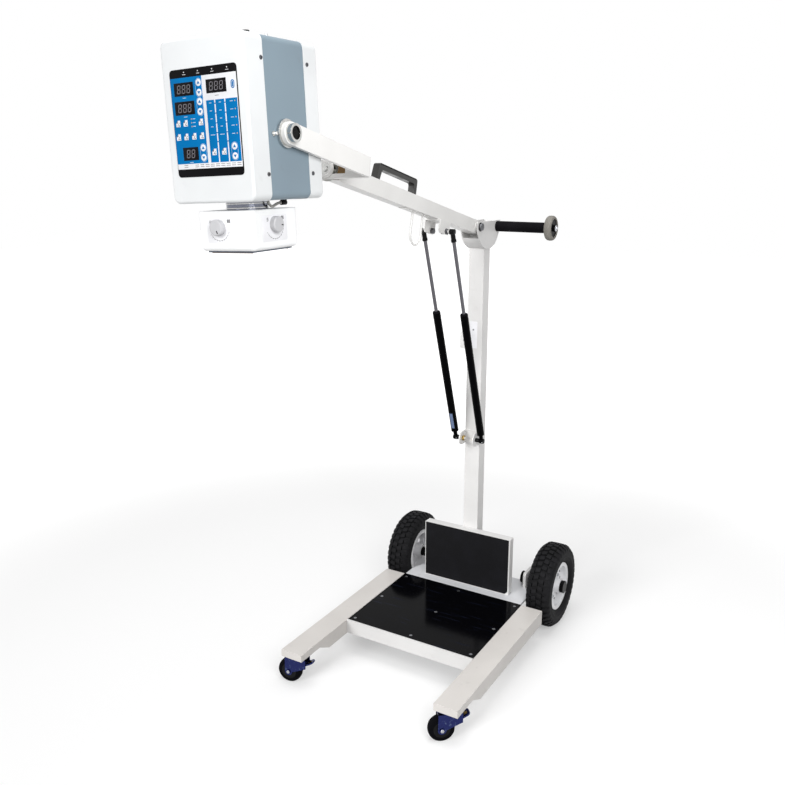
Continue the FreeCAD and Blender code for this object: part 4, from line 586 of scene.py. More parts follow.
@dataclass(frozen=True)
class Plastic(Finish):
    """Moulded plastic: a spark-eroded skin, a slight cloud in its tone and small rubbed spots."""

    roughness: float = 0.42
    spark: float = 0.45
    spark_depth: float = 0.008
    drift: float = 0.95
    edge: float = 0.4

    def dress(self, tree: bpy.types.NodeTree, shader: Any, spot: Any) -> None:
        """Cloud the tone, rub some spots glossier and roughen the skin."""
        cloud = grain(tree, spot, 40, 0.35, 0.65)
        tone = tinted(tree, cloud, linear(shaded(self.colour, self.drift)), linear(self.colour))
        tree.links.new(tone, shader.inputs["Base Color"])
        rubbed = {"Value": cloud, "To Min": self.roughness - 0.08, "To Max": self.roughness + 0.06}
        tree.links.new(add_node(tree, "MapRange", rubbed).outputs[0], shader.inputs["Roughness"])
        raised(tree, shader, grain(tree, spot, self.spark, 0.25, 0.75), self.spark_depth, self.edge)


@dataclass(frozen=True)
class GlossPlate(Finish):
    """A lacquered tread plate: a clear gloss, hair scratches across it and settled dust."""

    roughness: float = 0.12
    sheen_level: float = 0.04
    scratch: str = "#232a42"
    scratch_share: float = 0.4
    dust: str = "#55555c"
    dust_share: float = 0.45
    edge: float = 0.5

    def dress(self, tree: bpy.types.NodeTree, shader: Any, spot: Any) -> None:
        """Turn a long thin noise into scratches, speckle dust and roughen both."""
        across = {"Vector": spot, "Scale": (1.0, 9.0, 1.0), "Rotation": (0.0, 0.0, 0.5)}
        streaks = grain(tree, add_node(tree, "Mapping", across).outputs[0], 90, 0.60, 0.78, 8.0)
        specks = grain(tree, spot, 2.2, 0.70, 0.80, 3.0)
        faint = add_node(tree, "Math", {0: streaks, 1: self.scratch_share}, operation="MULTIPLY").outputs[0]
        worn = tinted(tree, faint, linear(self.colour), linear(self.scratch))
        dots = add_node(tree, "Math", {0: specks, 1: self.dust_share}, operation="MULTIPLY").outputs[0]
        tree.links.new(tinted(tree, dots, worn, linear(self.dust)), shader.inputs["Base Color"])
        dull = {"Value": streaks, "To Min": self.roughness, "To Max": self.roughness + 0.25}
        tree.links.new(add_node(tree, "MapRange", dull).outputs[0], shader.inputs["Roughness"])
        raised(tree, shader, streaks, 0.004, self.edge)


@dataclass(frozen=True)
class Film(Finish):
    """Printed membrane film: a flat ink under a velvet-textured clear face."""

    roughness: float = 0.34
    sheen_level: float = 0.05
    velvet: float = 0.35

    def dress(self, tree: bpy.types.NodeTree, shader: Any, spot: Any) -> None:
        """Vary the ink slightly and give the face its velvet."""
        ink = grain(tree, spot, 30, 0.35, 0.65)
        tone = tinted(tree, ink, linear(shaded(self.colour, 0.96)), linear(self.colour))
        tree.links.new(tone, shader.inputs["Base Color"])
        raised(tree, shader, grain(tree, spot, self.velvet, 0.2, 0.8), 0.003)


# The frame's white powder paint over steel: near-matt, so its planes shade evenly.
WHITE_PAINT = PowderCoat("white_powder_coat_on_steel", "#d9d8d7")
# The arm's and yoke's white: the frame's paint made lighter as painted light, so that they render brighter,
# with fewer grime marks.
LIT_ARM_PAINT = PowderCoat("white_powder_coat_on_arm_painted_lighter", "#e6e5e3", grime_share=0.06)
# The rails' white: the frame's paint made warmer and darker as painted shade on the rails, with more grime
# marks near the ground.
SHADED_RAIL_PAINT = PowderCoat("warm_white_powder_coat_on_rails_painted_shade", "#cdc9c5", grime_share=0.2)
# The deck's greyer paint, which parts it from the rails.
DECK_PAINT = PowderCoat("grey_white_powder_coat_on_deck", "#cfd0d3", grime_share=0.2)
# The head shells' smoother white lacquer on formed sheet.
SHELL_PAINT = PowderCoat("white_lacquer_on_formed_sheet", "#dcdedf", roughness=0.32, peel_depth=0.004)
# The beam box's white: the shells' lacquer made lighter as painted light against the head's shade.
LIT_BOX_PAINT = PowderCoat("white_lacquer_on_beam_box_painted_lighter", "#f1f2f3", roughness=0.34, peel_depth=0.004)
# The band's blue-grey texture paint between the white shells.
BAND_PAINT = PowderCoat("blue_grey_texture_paint_on_sheet", "#7a8b96", roughness=0.5, peel_depth=0.010)
# The foot plate's black lacquer: scratched gloss that picks up the room.
BLACK_PLATE = GlossPlate("black_lacquered_tread_plate", "#040406")
# Zinc on nuts and small fasteners: bright with a clouded grey.
ZINC = Metal("bright_zinc_plated_steel", "#b9bbbf", roughness=0.33, lay=Lay.NONE, mark=2.5)
# The carry handle's glass-filled nylon: a dark warm grey instead of black, a painted sheen for the light on
# its sides, and glossier in rubbed spots.
HANDLE_NYLON_PAINTED_SHEEN = Plastic("dark_glass_filled_nylon_painted_sheen", "#1d1c1a", roughness=0.36, drift=0.85, sheen_level=0.4)
# Black paint on tubes and brackets: dark with a low sheen.
BLACK_STEEL = PowderCoat(
    "black_satin_paint_on_steel_tube", "#070708", roughness=0.36, sheen_level=0.1, grime="#29292b"
)
# The springs' cylinders: stove enamel so black that only thin edge glints show.
SPRING_ENAMEL = PowderCoat(
    "black_stove_enamel_on_cylinder", "#010102", roughness=0.3, sheen_level=0.03, grime="#0c0c10"
)
# The tyres' dusty tread rubber.
TYRE_RUBBER = Rubber("dusty_moulded_tyre_rubber", "#0a0a0c", pit=1.2, pit_depth=0.05, dust="#2e2d31")
# The rims' silver-white wheel paint.
RIM_PAINT = PowderCoat("silver_white_wheel_paint", "#f0f0f2", grime="#6c6862", grime_share=0.22)
# The grey rubber jacket of the head's short cable.
CABLE_JACKET = Rubber("grey_cable_jacket", "#cfcbc5", pit_depth=0.01)
# Black moulded rubber of the grip's sleeve, the springs' seals and the head's cap.
BLACK_RUBBER = Rubber("black_moulded_rubber", "#08070a", sheen_level=0.06, dust="#2c2a30", dust_share=0.12)
# The end roller's grey-yellow rubber, worn pale where it is rolled.
ROLLER_RUBBER = Rubber("worn_grey_roller_rubber", "#85827c", dust="#4f4c47", dust_share=0.4)
# Bare cast weight inside the rear frame.
WEIGHT_STEEL = Metal("rough_cast_ballast_steel", "#5d5c5b", roughness=0.6, mark=3, mark_depth=0.05)
# The springs' ground and nitrided rods.
ROD_STEEL = Metal("ground_nitrided_spring_rod", "#66656a", roughness=0.2, lay=Lay.ALONG_Z, mark=2)
# The friction plate's pressed brown laminate; the same brown paints glints in strips along the beam window's
# edges.
PHENOLIC_AND_PAINTED_GLINT = Plastic("pressed_brown_phenolic_laminate_and_painted_glint", "#94703f", roughness=0.5, drift=0.8)
# Chrome on the swivel, the bushings and the trunnions: hard bright edges among the whites.
CHROME = Metal("polished_chrome_plate", "#d6d6d4", roughness=0.12, mark=8, stain_share=0.12)
# The panel's base film in black ink.
BLACK_FILM = Film("black_ink_membrane_film", "#080709")
# The panel's strong blue ink, its one loud colour.
BLUE_FILM = Film("blue_ink_membrane_film", "#006aa8")
# The white ink of fields and key faces, a little greyer than the shells round the panel.
WHITE_FILM = Film("white_ink_membrane_film", "#dcdde0")
# The legends' pale ink, which stays soft on the blue.
GREY_FILM = Film("pale_ink_legend_film", "#b8c9d8")
# The spring's rating label: blue-grey ink that stands out from the black tube.
LABEL_FILM = Film("blue_grey_spring_label", "#6c7c9b")
# The unlit lamps' amber lenses: small tan dots with a glint.
TAN_LENS = Plastic("amber_indicator_lens", "#b39a6c", roughness=0.25)
# The tube housing's bare drawn aluminium, seen only through the head's openings.
TANK_ALUMINIUM = Metal("drawn_aluminium_tank", "#b2b3b5", roughness=0.4, lay=Lay.ALONG_X, mark=4)
# The dials' light moulded plastic.
KNOB_PLASTIC = Plastic("light_grey_moulded_knob", "#bcbcbf", roughness=0.45)
# The dials' printed plates and the column's label: matt, and just off the box's white.
DIAL_PLATE = Plastic("pale_grey_printed_dial_plate", "#ececef", roughness=0.5)
# The beam window's smoked clear plate.
WINDOW = Plastic("smoked_acrylic_window", "#1c2027", roughness=0.08, spark_depth=0.0005)
# The displays' smooth black windows, glossier than the film round them.
DISPLAY = Plastic("black_display_window", "#070608", roughness=0.16, sheen_level=0.1, spark_depth=0.0005)
# Unlit digits, key strokes and notes: a grey that reads on black and on white.
SEGMENT = Plastic("unlit_grey_display_segment", "#6b686e", roughness=0.3)
# Shutter blades of rolled steel.
BLADE_STEEL = Metal("rolled_steel_shutter", "#77777a", roughness=0.45, lay=Lay.ALONG_X)
# The casters' dark blue passivated zinc.
CASTER_ZINC = Metal(
    "dark_blue_passivated_zinc", "#2b3162", roughness=0.24, mark=3, stain="#9fb6cf", stain_share=0.3
)
# The casters' black treads, cleaner than the tyres.
CASTER_TREAD = Rubber("black_caster_tread", "#050508", sheen_level=0.04, dust="#17161c", dust_share=0.15)
# Near-black moulded nylon of hubs, plugs and the gland; on the handle's top strip and the rims' slot marks
# it is painted shade.
BLACK_NYLON_AND_PAINTED_SHADE = Plastic("black_moulded_nylon_and_painted_shade", "#08080a", roughness=0.5, sheen_level=0.12)
# Turned steel of the neck: a bright lathe finish that mirrors the room in bands.
NECK_STEEL = Metal("turned_steel_neck", "#7d808c", roughness=0.16, mark=3)
# The beam window's slate-grey moulded frame.
FRAME_PLASTIC = Plastic("slate_grey_window_frame", "#4b5464", roughness=0.5)
# Yellow passivated nuts: small warm glints low on the cart; the pedal strips in the same colour are a
# painted highlight.
BRASS_AND_PAINTED_HIGHLIGHT = Metal("yellow_passivated_hardware_and_painted_highlight", "#b09350", roughness=0.3, mark=2)
# The pad's black rubber with its coarse pips.
PAD_RUBBER = Rubber("dotted_rubber_pad", "#050508", pit=2.4, pit_depth=0.25, dust="#18181f")
# Dull zinc on the deck's and column's screws and the pivot bolt: greyed, without sparkle.
DULL_ZINC = Metal("worn_zinc_countersunk_screw", "#85868a", roughness=0.45, mark=2)
# Black oxide on the case's screws and the bracket's nuts: dark dots on the white.
DARK_SCREW = Metal("black_oxide_screw", "#5c5c5f", roughness=0.35, mark=2)


# ---------------------------------------------------------------- pieces


def make_piece(
    name: str,
    shells: Sequence[Shell],
    finish: Finish,
    body: str,
    replaces: Sequence[str] = (),
    crease: float = 32.0,
) -> bpy.types.Object:
    """Make one object of several shells and hand it to its body.

    Args:
        name: The piece's own name.
        shells: Its closed surfaces.
        finish: What it is finished with.
        body: The moving body that carries it.
        replaces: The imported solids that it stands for.
        crease: The angle in degrees past which an edge shows as sharp.

    Returns:
        The object, which sits at the origin with its place in its mesh.
    """
    starts = np.cumsum([0] + [len(shell.points) for shell in shells[:-1]])
    points = np.vstack([shell.points for shell in shells]) * METRES
    rims: list[np.ndarray] = []
    sizes: list[np.ndarray] = []
    for shell, start in zip(shells, starts):
        rims.append(shell.quads.ravel() + start)
        sizes.append(np.full(len(shell.quads), 4))
        rims += [cap + start for cap in shell.caps]
        sizes.append(np.array([len(cap) for cap in shell.caps], int))
    corners, counts = np.concatenate(rims), np.concatenate(sizes)
    mesh = bpy.data.meshes.new(name)
    mesh.vertices.add(len(points))
    mesh.vertices.foreach_set("co", points.ravel())
    mesh.loops.add(len(corners))
    mesh.loops.foreach_set("vertex_index", corners.astype(np.int32))
    mesh.polygons.add(len(counts))
    first = np.concatenate([[0], np.cumsum(counts)[:-1]])
    mesh.polygons.foreach_set("loop_start", first.astype(np.int32))
    mesh.polygons.foreach_set("loop_total", counts.astype(np.int32))
    mesh.update(calc_edges=True)
    mesh.validate()
    mesh.polygons.foreach_set("use_smooth", np.ones(len(mesh.polygons), bool))
    mesh.set_sharp_from_angle(angle=math.radians(crease))
    mesh.materials.append(finish.material())
    piece = bpy.data.objects.new(name, mesh)
    bpy.context.scene.collection.objects.link(piece)
    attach(piece, body)
    if replaces:
        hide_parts(*replaces)
    log.info("%s: %d faces on %s", name, len(counts), body)
    return piece


def dress(finish: Finish, *nodes: str) -> None:
    """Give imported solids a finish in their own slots."""
    for node in nodes:
        mesh = frame["nodes"][node].data
        mesh.materials.clear()
        mesh.materials.append(finish.material())
        log.info("%s: dressed in %s", node, finish.name)


def cross_screw(place: Place, diameter: float, rise: float) -> Shell:
    """Make a screw's pan head with a dished driver mark.

    Args:
        place: On the surface below the head, with Z outwards.
        diameter: The head's width.
        rise: How far it stands proud.

    Returns:
        One closed shell: a lathe profile that domes over and dips at its crown.
    """
    shares = ((1.0, 0.0), (1.0, 0.35), (0.86, 0.8), (0.55, 1.0), (0.4, 1.0), (0.28, 0.4), (0.05, 0.3))
    return lathe(place, [(share * diameter / 2, rise * height) for share, height in shares], steps=20)


@dataclass(frozen=True)
class Nut:
    """A hexagon nut by its width across flats, its two ends along its stud and its eased rim."""

    across: float
    start: float
    end: float
    eased: float

    def on(self, place: Place) -> Shell:
        """Return the nut about a place's Z."""
        return slab(place, hexagon(self.across), self.start, self.end, self.eased)


# ---------------------------------------------------------------- cart


@dataclass(frozen=True)
class RearWheels:
    """The two block-tread tyres on their painted rims.

    The carcass, bead and lip are rings of (radius, station); a block's outline is (station, radius).
    """

    carcass: ClassVar[Profile] = (
        (75.0, -26.0), (75.0, 26.0), (79.0, 31.0), (84.0, 34.2), (85.5, 35.8), (87.0, 35.2),
        (93.0, 37.0), (94.5, 38.2), (96.0, 37.6), (104.0, 37.8), (112.0, 37.4), (119.0, 33.0),
        (122.5, 24.0), (123.5, 0.0), (122.5, -24.0), (119.0, -33.0), (112.0, -37.4), (104.0, -37.8),
        (96.0, -37.6), (94.5, -38.2), (93.0, -37.0), (87.0, -35.2), (85.5, -35.8), (84.0, -34.2),
        (79.0, -31.0),
    )
    inner_block: ClassVar[Profile] = (
        (1.2, 121.0), (1.2, 129.3), (2.0, 129.8), (15.4, 129.6), (16.4, 128.8), (16.4, 121.0),
    )
    shoulder_block: ClassVar[Profile] = (
        (19.5, 121.0), (19.5, 128.8), (20.5, 129.4), (24.5, 128.0), (31.0, 122.4), (36.4, 117.2),
        (38.2, 112.0), (38.2, 109.0), (36.5, 108.5), (34.0, 112.0), (28.0, 117.0),
    )
    hub_bead: ClassVar[Profile] = ((24.4, 8.6), (24.8, 10.2), (25.8, 10.8), (26.8, 10.2), (27.2, 8.6))
    rim_lip: ClassVar[Profile] = ((58.2, 8.6), (58.4, 10.6), (59.4, 11.4), (61.6, 11.4), (61.6, 8.6))
    tread_radius: float = 125.0
    block_root: float = 102.0
    block_ease: float = 0.7
    blocks: int = 38
    inner_length: float = 12.5
    shoulder_length: float = 12.0
    slant: float = 2.5
    disc_face: float = 9.0
    bolts: int = 5
    bolt_reach: float = 36.12
    nut: ClassVar[Nut] = Nut(10.0, 0.0, 4.5, 0.8)
    stud_radius: float = 3.0
    stud_rise: float = 6.5
    slots: int = 14
    slot_reach: float = 55.4
    slot: ClassVar[Tablet] = Tablet((-1.9, -4.4), (1.9, 4.4), 1.8)

    def block_ring(self, place: Place, section: Profile, length: float, lead: float, slant: float) -> Shell:
        """Set a row of tread blocks round a wheel.

        Args:
            place: The wheel's centre, with Z along its axle.
            section: The block's outline as (station, radius).
            length: The block's length round the tread.
            lead: How far the row is turned, in shares of the space between blocks.
            slant: How far the block's outer end trails its inner one, in millimetres.

        Returns:
            A shell of closed blocks: a corner stands at the block's own angle plus its place along
            the tread over its radius, so each block is a section carried a short way round.
        """
        station, radius = np.array(section, float).T
        ends = np.array([-0.5, -0.44, 0.44, 0.5]) * length
        shrink = np.array([1.0, 0.0, 0.0, 1.0]) * self.block_ease
        own = (np.arange(self.blocks) + lead) * TURN / self.blocks
        trail = slant * (np.abs(station) - np.abs(station).min()) / np.ptp(station)
        angle = own[:, None, None] + (ends[:, None] + trail) / self.tread_radius
        reach = np.maximum(radius - shrink[:, None], self.block_root) + 0 * angle
        level = np.broadcast_to(station, angle.shape)
        points = np.stack([reach * np.cos(angle), reach * np.sin(angle), level], axis=-1)
        rows, around = points.shape[1:3]
        one = grid(points[0], capped=True)
        starts = np.arange(self.blocks)[:, None, None] * rows * around
        quads = (one.quads + starts).reshape(-1, 4)
        caps = tuple(cap + start for start in starts.ravel() for cap in one.caps)
        return Shell(place.out(points.reshape(-1, 3)), quads, caps).outward()

    def build(self) -> None:
        """Make each side's tyre, bolts and beads, the black marks that paint the rim slots' shade, and dress
        the rims and axles.
        """
        for side, way in SIDES:
            hub = joint_place(f"wheel_{side}_spin").facing(way)
            shells = [lathe(hub, self.carcass, steps=96, ring=True)]
            for section, length, lead, slant in (
                (self.inner_block, self.inner_length, 0.0, self.slant),
                (self.shoulder_block, self.shoulder_length, 0.35, 0.0),
            ):
                mirrored = [(-station, radius) for station, radius in section]
                shells.append(self.block_ring(hub, section, length, lead, slant))
                shells.append(self.block_ring(hub, mirrored, length, lead + 0.5, slant))
            body = f"wheel_{side}"
            make_piece(f"tread_{side}", shells, TYRE_RUBBER, body, [f"tyre_{side}"])
            bolts = []
            for k in range(self.bolts):
                spot = hub.turned(360 * (k + 0.5) / self.bolts).moved(x=self.bolt_reach, z=self.disc_face)
                stud = Disc(self.stud_radius, steps=16)
                bolts.append(self.nut.on(spot))
                bolts.append(slab(spot, stud, self.nut.end - 0.5, self.stud_rise, eased=0.6))
            make_piece(f"rim_bolts_{side}", bolts, ZINC, body)
            beads = [lathe(hub, bead, steps=72, ring=True) for bead in (self.hub_bead, self.rim_lip)]
            make_piece(f"rim_beads_{side}", beads, RIM_PAINT, body)
            # The slots are black tablets on the rim's face: painted shade, not cut openings.
            slots = []
            for k in range(self.slots):
                spot = hub.turned(360 * k / self.slots).moved(x=self.slot_reach, z=self.disc_face)
                slots.append(slab(spot, self.slot, -0.2, 0.25))
            make_piece(f"rim_slot_shade_{side}", slots, BLACK_NYLON_AND_PAINTED_SHADE, body)
        dress(RIM_PAINT, "rim_left", "rim_right")
        dress(BLACK_STEEL, "wheel_axles")


@dataclass(frozen=True)
class CartFrame:
    """The welded rails and cross members with the deck, foot plate, ballast and pad on them."""

    def build(self) -> None:
        """Dress the frame and what it carries."""
        dress(SHADED_RAIL_PAINT, "side_rail_left", "side_rail_right")
        dress(WHITE_PAINT, "cross_members", "axle_brackets", "pad_box")
        dress(DECK_PAINT, "rear_deck")
        dress(BLACK_PLATE, "foot_plate")
        dress(DULL_ZINC, "foot_plate_screws")
        dress(WEIGHT_STEEL, "counterweight")
        dress(PAD_RUBBER, "rubber_pad")


@dataclass(frozen=True)
class Casters:
    """The two swivelling front casters with their brake pedals."""

    tread: ClassVar[Profile] = (
        (4.3, -12.9), (9.0, -12.9), (9.5, -10.5), (16.0, -9.5), (17.0, -11.5), (29.0, -12.0),
        (33.0, -10.0), (34.6, -5.0), (35.0, 0.0), (34.6, 5.0), (33.0, 10.0), (29.0, 12.0),
        (17.0, 11.5), (16.0, 9.5), (9.5, 10.5), (9.0, 12.9), (4.3, 12.9),
    )
    hub: ClassVar[Profile] = (
        (9.6, -11.0), (17.2, -11.9), (21.0, -11.95), (22.0, -12.2), (17.0, -12.3), (9.6, -11.6),
    )
    nut: ClassVar[Nut] = Nut(9.0, 15.6, 19.0, 0.8)
    pedal_rise: float = 28.0
    strip: ClassVar[Tablet] = Tablet((11.2, -5.6), (23.8, 5.6), 4.0)
    strip_half: float = 1.4

    def build(self) -> None:
        """Make each wheel as a crowned tread on a dished hub, and dress forks, mounts and pedals."""
        for side, _ in SIDES:
            axle = caster_place(side).facing("+Y")
            body = f"caster_wheel_{side}"
            tread = lathe(axle, self.tread, ring=True)
            make_piece(f"caster_tread_{side}", [tread], CASTER_TREAD, body, [body])
            far = [(radius, -station) for radius, station in self.hub]
            discs = [lathe(axle, disc, steps=32, ring=True) for disc in (self.hub, far)]
            make_piece(f"caster_hub_{side}", discs, BLACK_NYLON_AND_PAINTED_SHADE, body)
            nuts = [self.nut.on(caster_place(side).facing(way)) for way in ("+Y", "-Y")]
            make_piece(f"caster_nuts_{side}", nuts, ZINC, f"caster_{side}")
            # A brass-coloured strip on each pedal: a painted highlight for the tan glint on its face.
            low, high = node_box(f"caster_pedal_{side}")
            hinge = joint_point(f"caster_pedal_{side}_press")
            toward = unit(((low + high) / 2 - hinge) * (1.0, 1.0, 0.0))
            rise = math.radians(self.pedal_rise)
            along = math.cos(rise) * toward + math.sin(rise) * np.array([0.0, 0.0, 1.0])
            lever = squared(hinge, along, joint_axis(f"caster_wheel_{side}_spin"))
            strip = slab(lever, self.strip, -self.strip_half, self.strip_half, 0.5)
            make_piece(f"pedal_painted_highlight_{side}", [strip], BRASS_AND_PAINTED_HIGHLIGHT, f"caster_pedal_{side}")
            dress(CASTER_ZINC, f"caster_fork_{side}", f"caster_pedal_{side}")
        dress(CASTER_ZINC, "caster_mounts")


# ---------------------------------------------------------------- column and springs


@dataclass(frozen=True)
class Column:
    """The upright with its cheeks, two small plates and the washers on the arm's pivot."""

    front: float = 446.6
    label: ClassVar[Tablet] = Tablet((-16.0, 873.0), (8.0, 953.0), 1.5)
    tab: ClassVar[Tablet] = Tablet((-51.0, 867.0), (-24.0, 918.0), 3.0)
    tab_setback: float = 8.0
    tab_middle: float = -37.5
    tab_screws: ClassVar[tuple[float, ...]] = (893.0, 910.0)
    label_screw: ClassVar[tuple[float, float]] = (-4.0, 929.0)
    label_rise: float = 0.5
    tab_rise: float = 2.0
    screw_head: float = 5.0
    cheek_face: float = 27.0
    washer: ClassVar[Profile] = ((10.2, 0.0), (12.4, 0.0), (12.4, 1.4), (10.2, 1.4))

    def build(self) -> None:
        """Dress the column's solids, and add its two plates with their screws and the washers."""
        dress(WHITE_PAINT, "column", "column_cheeks", "cheek_wrap", "lower_strut_bracket")
        face = CART.moved(y=self.front).facing("-Y")
        label = slab(face, self.label, 0.0, self.label_rise, 0.2)
        make_piece("column_label_plate", [label], DIAL_PLATE, "cart")
        back = CART.moved(y=self.front + self.tab_setback).facing("-Y")
        tab = slab(back, self.tab, 0.0, self.tab_rise, 0.4)
        make_piece("column_tab", [tab], WHITE_PAINT, "cart")
        spots = [back.moved(self.tab_middle, height, self.tab_rise) for height in self.tab_screws]
        screws = [cross_screw(spot, self.screw_head, 1.8) for spot in spots]
        screws.append(cross_screw(face.moved(*self.label_screw, self.label_rise), self.screw_head, 1.6))
        make_piece("column_screws", screws, DULL_ZINC, "cart")
        for side, way in SIDES:
            ring = lathe(ARM.facing(way).moved(z=self.cheek_face), self.washer, ring=True)
            make_piece(f"pivot_washer_{side}", [ring], BLACK_STEEL, "cart")
        dress(DULL_ZINC, "arm_pivot_bolt")


@dataclass(frozen=True)
class PushGrip:
    """The push grip beside the column's head and the roller on its end."""

    tread: ClassVar[Profile] = (
        (25.6, 0.4), (29.0, 0.2), (32.0, 1.6), (34.2, 4.6), (35.0, 9.0), (35.0, 13.0),
        (34.2, 17.4), (32.0, 20.4), (29.0, 21.8), (25.6, 21.6),
    )
    disc: ClassVar[Profile] = ((8.3, 3.2), (25.8, 3.2), (25.8, 18.8), (8.3, 18.8))
    inner_cone: ClassVar[Profile] = ((8.2, -1.6), (14.0, -1.6), (17.0, 3.2), (8.2, 3.2))
    end_cap: ClassVar[Profile] = ((8.6, 0.0), (8.2, 2.0), (4.6, 3.2), (3.6, 6.0), (0.2, 6.6))
    cap_overlap: float = 1.5

    def build(self) -> None:
        """Dress the rod and the sleeve, and turn the roller with its dished hub and cone nuts."""
        dress(BLACK_STEEL, "grip_rod")
        dress(BLACK_RUBBER, "grip_sleeve")
        axis = joint_place("end_wheel_spin").facing("+X")
        near = axis.moved(z=node_box("end_wheel")[0][0] - axis.origin[0])
        far = axis.moved(z=node_box("grip_rod")[1][0] - axis.origin[0] - self.cap_overlap)
        roller = lathe(near, self.tread, steps=64, ring=True)
        make_piece("roller_tread", [roller], ROLLER_RUBBER, "end_wheel", ["end_wheel"])
        hub = lathe(near, self.disc, steps=64, ring=True)
        make_piece("roller_hub", [hub], BLACK_NYLON_AND_PAINTED_SHADE, "end_wheel")
        cones = [lathe(near, self.inner_cone, steps=32, ring=True), lathe(far, self.end_cap, steps=32)]
        make_piece("roller_cone", cones, ZINC, "end_wheel")


@dataclass(frozen=True)
class GasStruts:
    """The two gas springs between the column and the arm."""

    tube_radius: float = 11.0
    tube_end: float = 427.0
    length: float = 670.99
    crimp: ClassVar[Profile] = ((10.5, -16.0), (11.25, -15.0), (11.25, -12.0), (10.5, -11.0))
    seal: ClassVar[Profile] = ((5.3, 0.0), (10.6, 0.0), (10.2, 2.0), (7.6, 3.4), (5.3, 3.4))
    neck: ClassVar[Profile] = ((6.3, -27.0), (6.3, -5.0))
    neck_nut: ClassVar[Nut] = Nut(14.0, -27.5, -22.5, 0.6)
    socket_radius: float = 7.4
    socket_half: float = 6.8
    eye: ClassVar[Profile] = ((7.3, -6.9), (8.1, -4.0), (8.4, 0.0), (8.1, 4.0), (7.3, 6.9))
    rivet_radius: float = 1.9
    label_film: float = 0.12
    label_turn: ClassVar[tuple[float, float]] = (246.0, 299.0)
    label_ends: ClassVar[tuple[float, float]] = (38.0, 91.0)
    foot_nut: ClassVar[Nut] = Nut(14.2, 13.8, 20.2, 0.7)
    foot_collar: ClassVar[Profile] = ((4.1, 24.1), (6.4, 24.1), (6.4, 35.6), (4.1, 35.6))

    def build(self) -> None:
        """Dress tubes and rods, and add the crimped collars, seals, end fittings, eyes and nuts."""
        for side, _ in SIDES:
            strut = strut_place(side)
            tube_body, rod_body = f"strut_tube_{side}", f"strut_rod_{side}"
            dress(SPRING_ENAMEL, f"strut_tube_{side}")
            dress(ROD_STEEL, f"strut_rod_{side}")
            lip = strut.moved(z=self.tube_end)
            collar = lathe(lip, self.crimp, ring=True)
            make_piece(f"strut_crimp_{side}", [collar], SPRING_ENAMEL, tube_body)
            seal = lathe(lip, self.seal, ring=True)
            make_piece(f"strut_seal_{side}", [seal], BLACK_RUBBER, tube_body)
            top = strut.moved(z=self.length)
            fitting = [
                lathe(top, self.neck, steps=32),
                slab(top.facing("+X"), Disc(self.socket_radius), -self.socket_half, self.socket_half, 0.8),
                self.neck_nut.on(top),
            ]
            make_piece(f"strut_fitting_{side}", fitting, BLACK_STEEL, rod_body)
            lower_eye = lathe(strut.facing("+X"), self.eye, steps=32)
            make_piece(f"strut_eye_{side}", [lower_eye], SPRING_ENAMEL, tube_body)
            rivet = slab(strut.turned(30).facing("-Y").moved(z=9.0), Disc(self.rivet_radius), 0.0, 0.9, 0.3)
            make_piece(f"strut_rivet_{side}", [rivet], ZINC, tube_body)
        skin = (self.tube_radius, self.tube_radius + self.label_film)
        label = arc_band(strut_place("left"), *skin, *self.label_turn, *self.label_ends)
        make_piece("strut_label", [label], LABEL_FILM, "strut_tube_left")
        foot = Place(joint_point("strut_tube_left_lean") * (0.0, 1.0, 1.0), CART.axes)
        nuts = [self.foot_nut.on(foot.facing(way)) for _, way in SIDES]
        make_piece("foot_nuts", nuts, BRASS_AND_PAINTED_HIGHLIGHT, "cart")
        studs = [lathe(foot.facing(way), self.foot_collar, steps=32, ring=True) for _, way in SIDES]
        make_piece("foot_studs", studs, BLACK_STEEL, "cart")


# ---------------------------------------------------------------- arm and yoke


@dataclass(frozen=True)
class Arm:
    """The box arm with its handle, hook, spring bracket and swivel."""

    stud_reach: float = -200.0
    stud_drop: float = -45.0
    nuts: ClassVar[tuple[Nut, ...]] = (Nut(14.0, 24.2, 28.8, 0.7), Nut(14.0, 11.5, 19.5, 0.7))
    stud_ring: ClassVar[Profile] = ((4.6, 28.8), (5.6, 28.8), (5.6, 30.0), (4.6, 30.0))
    handle_top: float = 57.4
    strip: ClassVar[Tablet] = Tablet((-8.8, -528.0), (8.8, -357.5), 2.0)

    def build(self) -> None:
        """Dress the arm's solids; the swivel is chrome and the friction plate brown laminate."""
        dress(LIT_ARM_PAINT, "arm_beam", "cable_hook", "upper_strut_bracket")
        dress(HANDLE_NYLON_PAINTED_SHEEN, "carry_handle")
        # A black strip along the handle's top: painted shade that darkens the top against the lighter sides.
        strip = slab(ARM.moved(z=self.handle_top), self.strip, -2.6, 0.6, eased=0.5)
        make_piece("handle_top_painted_shade", [strip], BLACK_NYLON_AND_PAINTED_SHADE, "arm")
        dress(CHROME, "swivel_shaft")
        dress(PHENOLIC_AND_PAINTED_GLINT, "friction_plate")
        stud = ARM.moved(y=self.stud_reach, z=self.stud_drop)
        shells = []
        for _, way in SIDES:
            shells.append(lathe(stud.facing(way), self.stud_ring, ring=True))
            shells += [nut.on(stud.facing(way)) for nut in self.nuts]
        make_piece("bracket_nuts", shells, DARK_SCREW, "arm")


